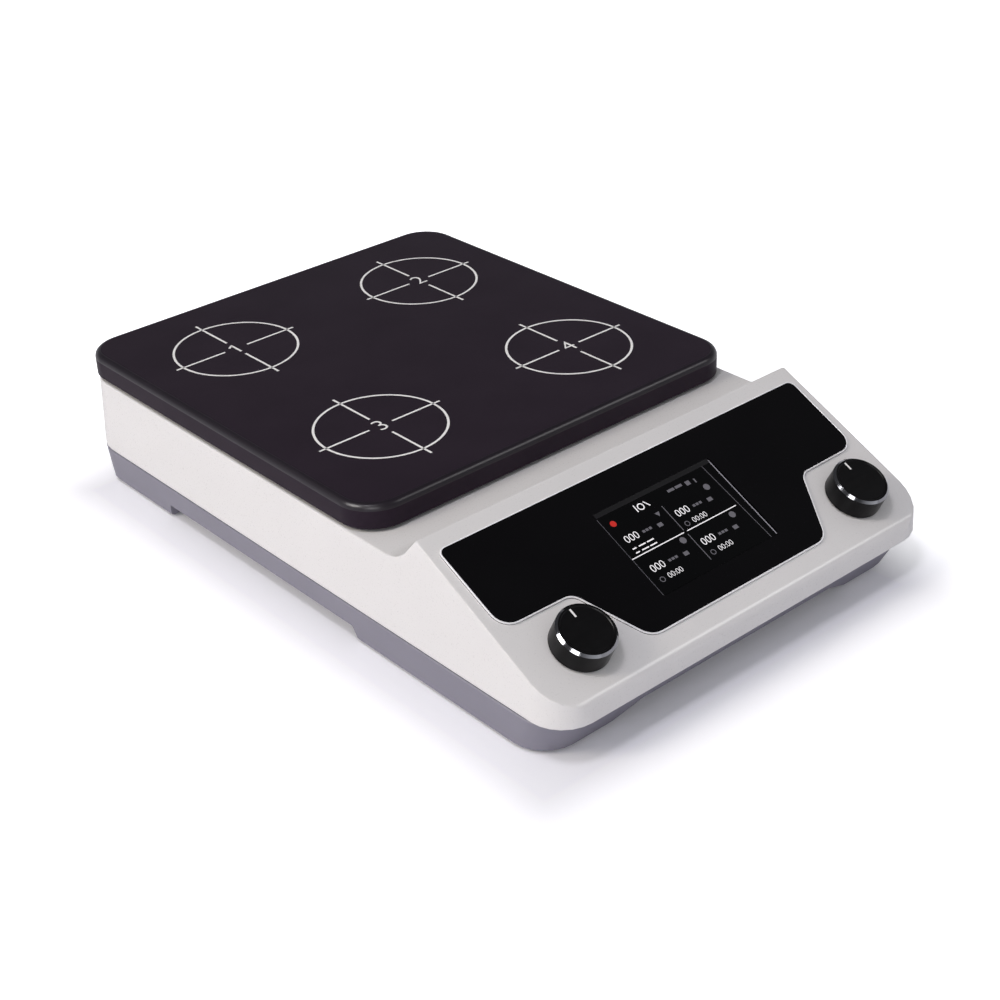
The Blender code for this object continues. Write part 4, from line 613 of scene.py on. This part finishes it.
def panel_surface(height=0.0, x=0.0, down=0.0):
    """The panel's frame: x across, y up its slope and z out of it, from a point on its ridge."""
    turn = JOINTS["knob_left_turn"]
    out = Vector(turn["axis"])
    across = Vector((1, 0, 0))
    up = out.cross(across)
    middle = Vector((0, *turn["pos_m"][1:]))
    point = middle + up * (KNOB_PLACE - down) + across * x + out * height
    return Matrix(
        [(across[row], up[row], out[row], point[row]) for row in range(3)] + [(0, 0, 0, 1)]
    )


def overlay_film():
    """Glossy film with an eased outline and a pale bead round it, both painted white as a highlight
    along its cut edge.
    """
    film = smooth_copy("control_overlay", "overlay_film", OVERLAY_ACRYLIC, EDGE_HIGHLIGHT_PAINT)
    to_panel = panel_surface().inverted()
    out = Vector(JOINTS["knob_left_turn"]["axis"])
    low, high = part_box("display_lens")
    low, high = low - Vector([WINDOW_BORDER] * 3), high + Vector([WINDOW_BORDER] * 3)

    def on_outline(edge):
        places = [to_panel @ vertex.co for vertex in edge.verts]
        top = all(abs(place.z - OVERLAY_TOP) < MERGE_DISTANCE * 10 for place in places)
        ends = [vertex.co for vertex in edge.verts]
        window = all(low.x < end.x < high.x and low.z < end.z < high.z for end in ends)
        flat = all(abs(face.normal.dot(out)) > 0.9 for face in edge.link_faces)
        return top and not window and not flat

    # The outline is copied for the bead and then eased; both take the pale paint of a painted
    # highlight.
    pick(film, "edges", on_outline)
    bpy.ops.mesh.duplicate()
    bpy.ops.mesh.separate(type="SELECTED")
    pick(film, "edges", on_outline)
    bpy.ops.mesh.bevel(offset=OVERLAY_EDGE, segments=2, affect="EDGES", material=1)
    bpy.ops.object.mode_set(mode="OBJECT")
    carry(settle(film), "base", "overlay_gloss", "control_overlay")
    # The bead is a pale tube along the outline: a painted highlight.
    bead = next(obj for obj in bpy.data.objects if obj.name.startswith("overlay_film."))
    choose(bead)
    bpy.ops.object.convert(target="CURVE")
    bead.data.bevel_depth = BEAD_RADIUS
    bead.data.bevel_resolution = 3
    bpy.ops.object.convert(target="MESH")
    named("overlay_bead", EDGE_HIGHLIGHT_PAINT)
    bead.location = out * (BEAD_LEVEL - OVERLAY_TOP)
    carry(settle(bead), "base", "overlay_gloss")


def display_picture():
    """Lit figures, symbols and dividing lines of the display, four quarters for four stations."""

    def at(x, v):
        return (x * MM, -v * MM)

    def line(material, x0, v0, x1, v1, width):
        return bar(material, at(x0, v0), at(x1, v1), width * MM)

    white, grey = [], []
    for x, end in ((-34.1, -3.8), (-1.9, 27.8)):
        white.append(line(LIT_WHITE, x, 50.4, end, 50.4, 0.4))
    grey += [line(LIT_GREY, -3.1, 35.1, -3.1, 49.4, 0.35), line(LIT_GREY, -2.8, 51.8, -2.8, 66.7, 0.35)]
    for column in (0, 1):
        for row in (0, 1):
            x = QUARTER_START[0] + QUARTER_PITCH[0] * column
            v = QUARTER_START[1] + QUARTER_PITCH[1] * row
            white.append(figures(LIT_WHITE, "000", at(x, v), 5.2 * MM, FIGURE_THINNING))
            for step in range(3):
                grey.append(line(LIT_GREY, x + 6.2 + 1.9 * step, v, x + 7.6 + 1.9 * step, v, 1.2))
            grey.append(line(LIT_GREY, x + 14.6, v + 0.7, x + 17.2, v + 0.7, 1.9))
            if column or row:
                grey.append(spot(LIT_GREY, at(x + 19.3, v - 5.0), 1.6 * MM))
                grey.append(ring(LIT_GREY, at(x - 2.6, v + 5.9), 1.15 * MM, 0.35 * MM, 24))
                place = at(x + 4.9, v + 5.9)
                white.append(figures(LIT_WHITE, "00:00", place, 3.8 * MM, FIGURE_THINNING))
    for v in DASH_LEVELS:
        for x, length in DASHES:
            grey.append(line(LIT_WHITE, x, v, x + length, v, 0.55))
    grey.append(spot(LIT_GREY, at(-7.5, 37.4), 1.5 * MM, 3, math.pi))
    grey += [line(LIT_GREY, 4.7, 30.4, 8.6, 30.4, 1.3), line(LIT_GREY, 9.3, 30.4, 13.2, 30.4, 1.3)]
    white.append(line(LIT_GREY, 15.2, 31.0, 17.6, 31.0, 2.2))
    white.append(line(LIT_GREY, 20.4, 30.4, 20.4, 32.6, 0.7))
    white += [ring(LIT_WHITE, at(-11.8, 31.0), 1.5 * MM, 0.5 * MM, 24)]
    white.append(line(LIT_WHITE, -9.2, 29.4, -7.4, 32.4, 0.5))
    white.append(line(LIT_WHITE, -14.6, 29.0, -14.6, 32.8, 0.5))
    red = [spot(LIT_RED, at(-29.0, 32.4), 1.5 * MM)]
    surface = panel_surface(LENS_TOP)
    printed("display_figures", white, surface, "base", "display_window")
    printed("display_symbols", grey, surface, "base", "display_window")
    printed("display_warning_light", red, surface, "base", "display_window")
    strip = [line(STRIP_INK, -34.0, 25.7, 34.0, 25.7, 2.6)]
    # The window's edges are painted highlights: a grey line on the left, and a grey and a pale line on
    # the right.
    edges = [
        line(GREY_EDGE_HIGHLIGHT_PAINT, -34.2, 27.6, -34.2, 70.5, 0.3),
        line(GREY_EDGE_HIGHLIGHT_PAINT, 28.8, 27.1, 30.4, 70.6, 0.35),
        line(PALE_EDGE_HIGHLIGHT_PAINT, 33.9, 25.6, 33.9, 70.6, 0.5),
    ]
    printed("display_bezel_print", strip, surface, "base", "display_window")
    printed("display_edge_print", edges, surface, "base", "display_window")


def knob(side, sign):
    """Turned knob with a dished top, a bright cut rim and a bore for its shaft."""
    depth = KNOB_HEIGHT - KNOB_LIFT
    deselect()
    bpy.ops.mesh.primitive_cylinder_add(
        vertices=128, radius=KNOB_RADIUS, depth=depth, location=(0, 0, KNOB_LIFT + depth / 2)
    )
    piece = named(f"turned_knob_{side}", KNOB_ANODISED, CUT_ALUMINIUM)
    bpy.ops.object.transform_apply(location=True, rotation=True, scale=True)
    bpy.ops.object.mode_set(mode="EDIT")
    pick(piece, "faces", lambda face: lies_at(face, KNOB_HEIGHT))
    share = KNOB_TOP_RADIUS / KNOB_RADIUS
    bpy.ops.transform.resize(value=(share, share, 1), center_override=(0, 0, KNOB_HEIGHT))
    bpy.ops.mesh.inset(thickness=2 * KNOB_RIM - KNOB_DISH)
    bpy.ops.mesh.inset(thickness=KNOB_DISH)
    bpy.ops.transform.translate(value=(0, 0, -KNOB_DISH))
    rim = KNOB_TOP_RADIUS - KNOB_RIM / 2

    def on_rim(edge):
        return lies_at(edge, KNOB_HEIGHT) and all(vertex.co.xy.length > rim for vertex in edge.verts)

    pick(piece, "edges", on_rim)
    bpy.ops.mesh.bevel(offset=KNOB_RIM, segments=1, affect="EDGES", material=1)
    pick(piece, "faces", lambda face: lies_at(face, KNOB_LIFT))
    bpy.ops.mesh.inset(thickness=KNOB_RADIUS - KNOB_RECESS_RADIUS)
    bpy.ops.mesh.extrude_region_move(TRANSFORM_OT_translate={"value": (0, 0, KNOB_RECESS_DEPTH)})
    bpy.ops.mesh.inset(thickness=KNOB_RECESS_RADIUS - KNOB_BORE_RADIUS)
    rise = KNOB_HEIGHT - KNOB_ROOF - KNOB_LIFT - KNOB_RECESS_DEPTH
    bpy.ops.mesh.extrude_region_move(TRANSFORM_OT_translate={"value": (0, 0, rise)})
    bpy.ops.object.mode_set(mode="OBJECT")
    piece.matrix_world = panel_surface(0, sign * KNOB_SPREAD / 2, KNOB_PLACE)
    carry(settle(piece), f"knob_{side}", "knob_black", f"knob_{side}")
    start = KNOB_TOP_RADIUS - 2 * KNOB_RIM
    mark = bar(MARK_INK, (0, start - POINTER_LENGTH), (0, start), POINTER_WIDTH)
    surface = panel_surface(KNOB_HEIGHT - KNOB_DISH, sign * KNOB_SPREAD / 2, KNOB_PLACE)
    printed(f"knob_pointer_{side}", [mark], surface, f"knob_{side}", "overlay_gloss")


# Power switch


def rocker_marks():
    """Printed line and circle on the two faces of the rocker."""
    joint = JOINTS["power_rocker_tilt"]
    rest = Matrix.Translation(joint["pos_m"]) @ Matrix.Rotation(ROCKER_REST_ANGLE, 4, "X")
    slope = math.atan2(ROCKER_SIDE - ROCKER_WAIST, ROCKER_HALF)
    for name, sign, pieces in (
        ("on", 1, [bar(MARK_INK, (0, -ROCKER_MARK / 2), (0, ROCKER_MARK / 2), ROCKER_LINE)]),
        ("off", -1, [ring(MARK_INK, (0, 0), ROCKER_MARK / 2, ROCKER_LINE, 48)]),
    ):
        middle = Matrix.Translation((0, (ROCKER_SIDE + ROCKER_WAIST) / 2, sign * ROCKER_HALF / 2))
        facing = Matrix.Rotation(math.pi, 4, "Z") @ Matrix.Rotation(math.pi / 2 + sign * slope, 4, "X")
        printed(f"rocker_mark_{name}", pieces, rest @ middle @ facing, "power_rocker", "overlay_gloss")


plate = work_plate()
plate_low, plate_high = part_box("top_plate")
plate_middle = (plate_low + plate_high) / 2
for number, (across, along) in enumerate(STATION_SIGNS, 1):
    offset = STATION_SPACING / 2
    station_mark(number, across * offset, plate_middle.y + along * offset, plate_high.z)
housing_shell()
tray_shell()
overlay_film()
display_picture()
for side, sign in SIDES:
    knob(side, sign)
rocker_marks()

# Light, floor and camera


def seen_directly(tree, gloss_share=1.0):
    """One for a ray from the camera or through glass, a share off a gloss, and nought elsewhere."""
    path = add_node(tree, "ShaderNodeLightPath").outputs
    inputs = {0: path["Is Glossy Ray"], 1: gloss_share}
    reflected = add_node(tree, "ShaderNodeMath", inputs, operation="MULTIPLY").outputs[0]
    inputs = {0: path["Is Camera Ray"], 1: reflected}
    either = add_node(tree, "ShaderNodeMath", inputs, operation="MAXIMUM").outputs[0]
    inputs = {0: either, 1: path["Is Transmission Ray"]}
    return add_node(tree, "ShaderNodeMath", inputs, operation="MAXIMUM").outputs[0]


def studio_floor():
    """White paper that keeps the object's shadow and is white where it is seen; its glow fades out near
    the object, a painted shade round it.
    """
    deselect()
    bpy.ops.mesh.primitive_plane_add(size=FLOOR_SIZE, location=(0, 0, 0))
    material = bpy.data.materials.new("white_paper_floor")
    material.use_nodes = True
    tree = material.node_tree
    shader = tree.nodes["Principled BSDF"]
    shader.inputs["Base Color"].default_value = linear(FLOOR_COLOUR)
    shader.inputs["Roughness"].default_value = 0.9
    place = add_node(tree, "ShaderNodeTexCoord").outputs["Object"]
    # The distance from a rectangle under the object: the glow rises with it, so that the floor near the
    # object has painted shade
    for operation, inputs in (
        ("SUBTRACT", {1: GLOW_MIDDLE}),
        ("ABSOLUTE", {}),
        ("SUBTRACT", {1: GLOW_HALF_SIZE}),
        ("MAXIMUM", {1: (0, 0, 0)}),
    ):
        step = add_node(tree, "ShaderNodeVectorMath", {0: place, **inputs}, operation=operation)
        place = step.outputs[0]
    reach = add_node(tree, "ShaderNodeVectorMath", {0: place}, operation="LENGTH").outputs["Value"]
    inputs = {"Value": reach, "From Min": GLOW_REACH[0], "From Max": GLOW_REACH[1]}
    inputs.update({"To Min": FLOOR_GLOW[0], "To Max": FLOOR_GLOW[1]})
    spread = add_node(tree, "ShaderNodeMapRange", inputs).outputs["Result"]
    inputs = {0: seen_directly(tree, GLOSS_SHARE), 1: spread}
    level = add_node(tree, "ShaderNodeMath", inputs, operation="MULTIPLY")
    glow = add_node(tree, "ShaderNodeEmission", {"Strength": level.outputs[0]})
    total = add_node(tree, "ShaderNodeAddShader", {0: shader.outputs[0], 1: glow.outputs[0]})
    tree.links.new(total.outputs[0], tree.nodes["Material Output"].inputs["Surface"])
    named("studio_floor", material)


def studio_sky():
    """Even light that is brighter on the left, and a backdrop that is white up to a dim ceiling."""
    world = bpy.data.worlds.new("studio_sky")
    bpy.context.scene.world = world
    world.use_nodes = True
    tree = world.node_tree
    place = add_node(tree, "ShaderNodeTexCoord").outputs["Generated"]
    split = add_node(tree, "ShaderNodeSeparateXYZ", {"Vector": place}).outputs
    inputs = {"Value": split["X"], "From Min": SKY_SIDES[0], "From Max": SKY_SIDES[1]}
    inputs.update({"To Min": SKY_LEVELS[0], "To Max": SKY_LEVELS[1]})
    light = add_node(tree, "ShaderNodeMapRange", inputs).outputs["Result"]
    inputs = {"Value": split["Z"], "From Min": BACKDROP_HEIGHTS[0], "From Max": BACKDROP_HEIGHTS[1]}
    inputs.update({"To Min": 1.0, "To Max": CEILING})
    backdrop = add_node(tree, "ShaderNodeMapRange", inputs).outputs["Result"]
    inputs = {"Factor": seen_directly(tree), "A": light, "B": backdrop}
    lit = add_node(tree, "ShaderNodeMix", inputs).outputs["Result"]
    camera_ray = add_node(tree, "ShaderNodeLightPath").outputs["Is Camera Ray"]
    inputs = {"Factor": camera_ray, "A": lit, "B": 1.0}
    strength = add_node(tree, "ShaderNodeMix", inputs).outputs["Result"]
    background = tree.nodes["Background"]
    # A colour mix has its two colours at places 6 and 7, and its result at place 2.
    inputs = {0: camera_ray, 6: linear(SKY_TINT), 7: linear("FFFFFF")}
    tint = add_node(tree, "ShaderNodeMix", inputs, data_type="RGBA")
    tree.links.new(tint.outputs[2], background.inputs["Color"])
    tree.links.new(strength, background.inputs["Strength"])


def softboxes():
    """Round soft lamps that face the object: the sparks only show as highlights."""
    for name, where, size, power, tint, lights_surfaces in LAMPS:
        lamp = bpy.data.lights.new(name, "AREA")
        lamp.shape = "DISK"
        lamp.size = size
        lamp.energy = power
        lamp.color = linear(tint)[:3]
        softbox = bpy.data.objects.new(name, lamp)
        bpy.context.scene.collection.objects.link(softbox)
        softbox.visible_diffuse = lights_surfaces
        softbox.location = where
        softbox.rotation_euler = (-softbox.location).to_track_quat("-Z", "Y").to_euler()


def camera():
    """The photograph's viewpoint: an azimuth and an elevation round where it aims, and a roll."""
    level = math.cos(CAMERA_ELEVATION)
    ahead, across = math.cos(CAMERA_AZIMUTH) * level, -math.sin(CAMERA_AZIMUTH) * level
    forward = Vector((across, ahead, -math.sin(CAMERA_ELEVATION)))
    data = bpy.data.cameras.new("camera")
    data.sensor_width = SENSOR_WIDTH
    data.lens = LENS
    view = bpy.data.objects.new("camera", data)
    bpy.context.scene.collection.objects.link(view)
    turn = forward.to_track_quat("-Z", "Y").to_matrix().to_4x4()
    place = Matrix.Translation(AIM - forward * CAMERA_DISTANCE)
    view.matrix_world = place @ turn @ Matrix.Rotation(CAMERA_ROLL, 4, "Z")
    bpy.context.scene.camera = view


studio_floor()
studio_sky()
softboxes()
camera()
bpy.context.scene.view_settings.view_transform = "Standard"
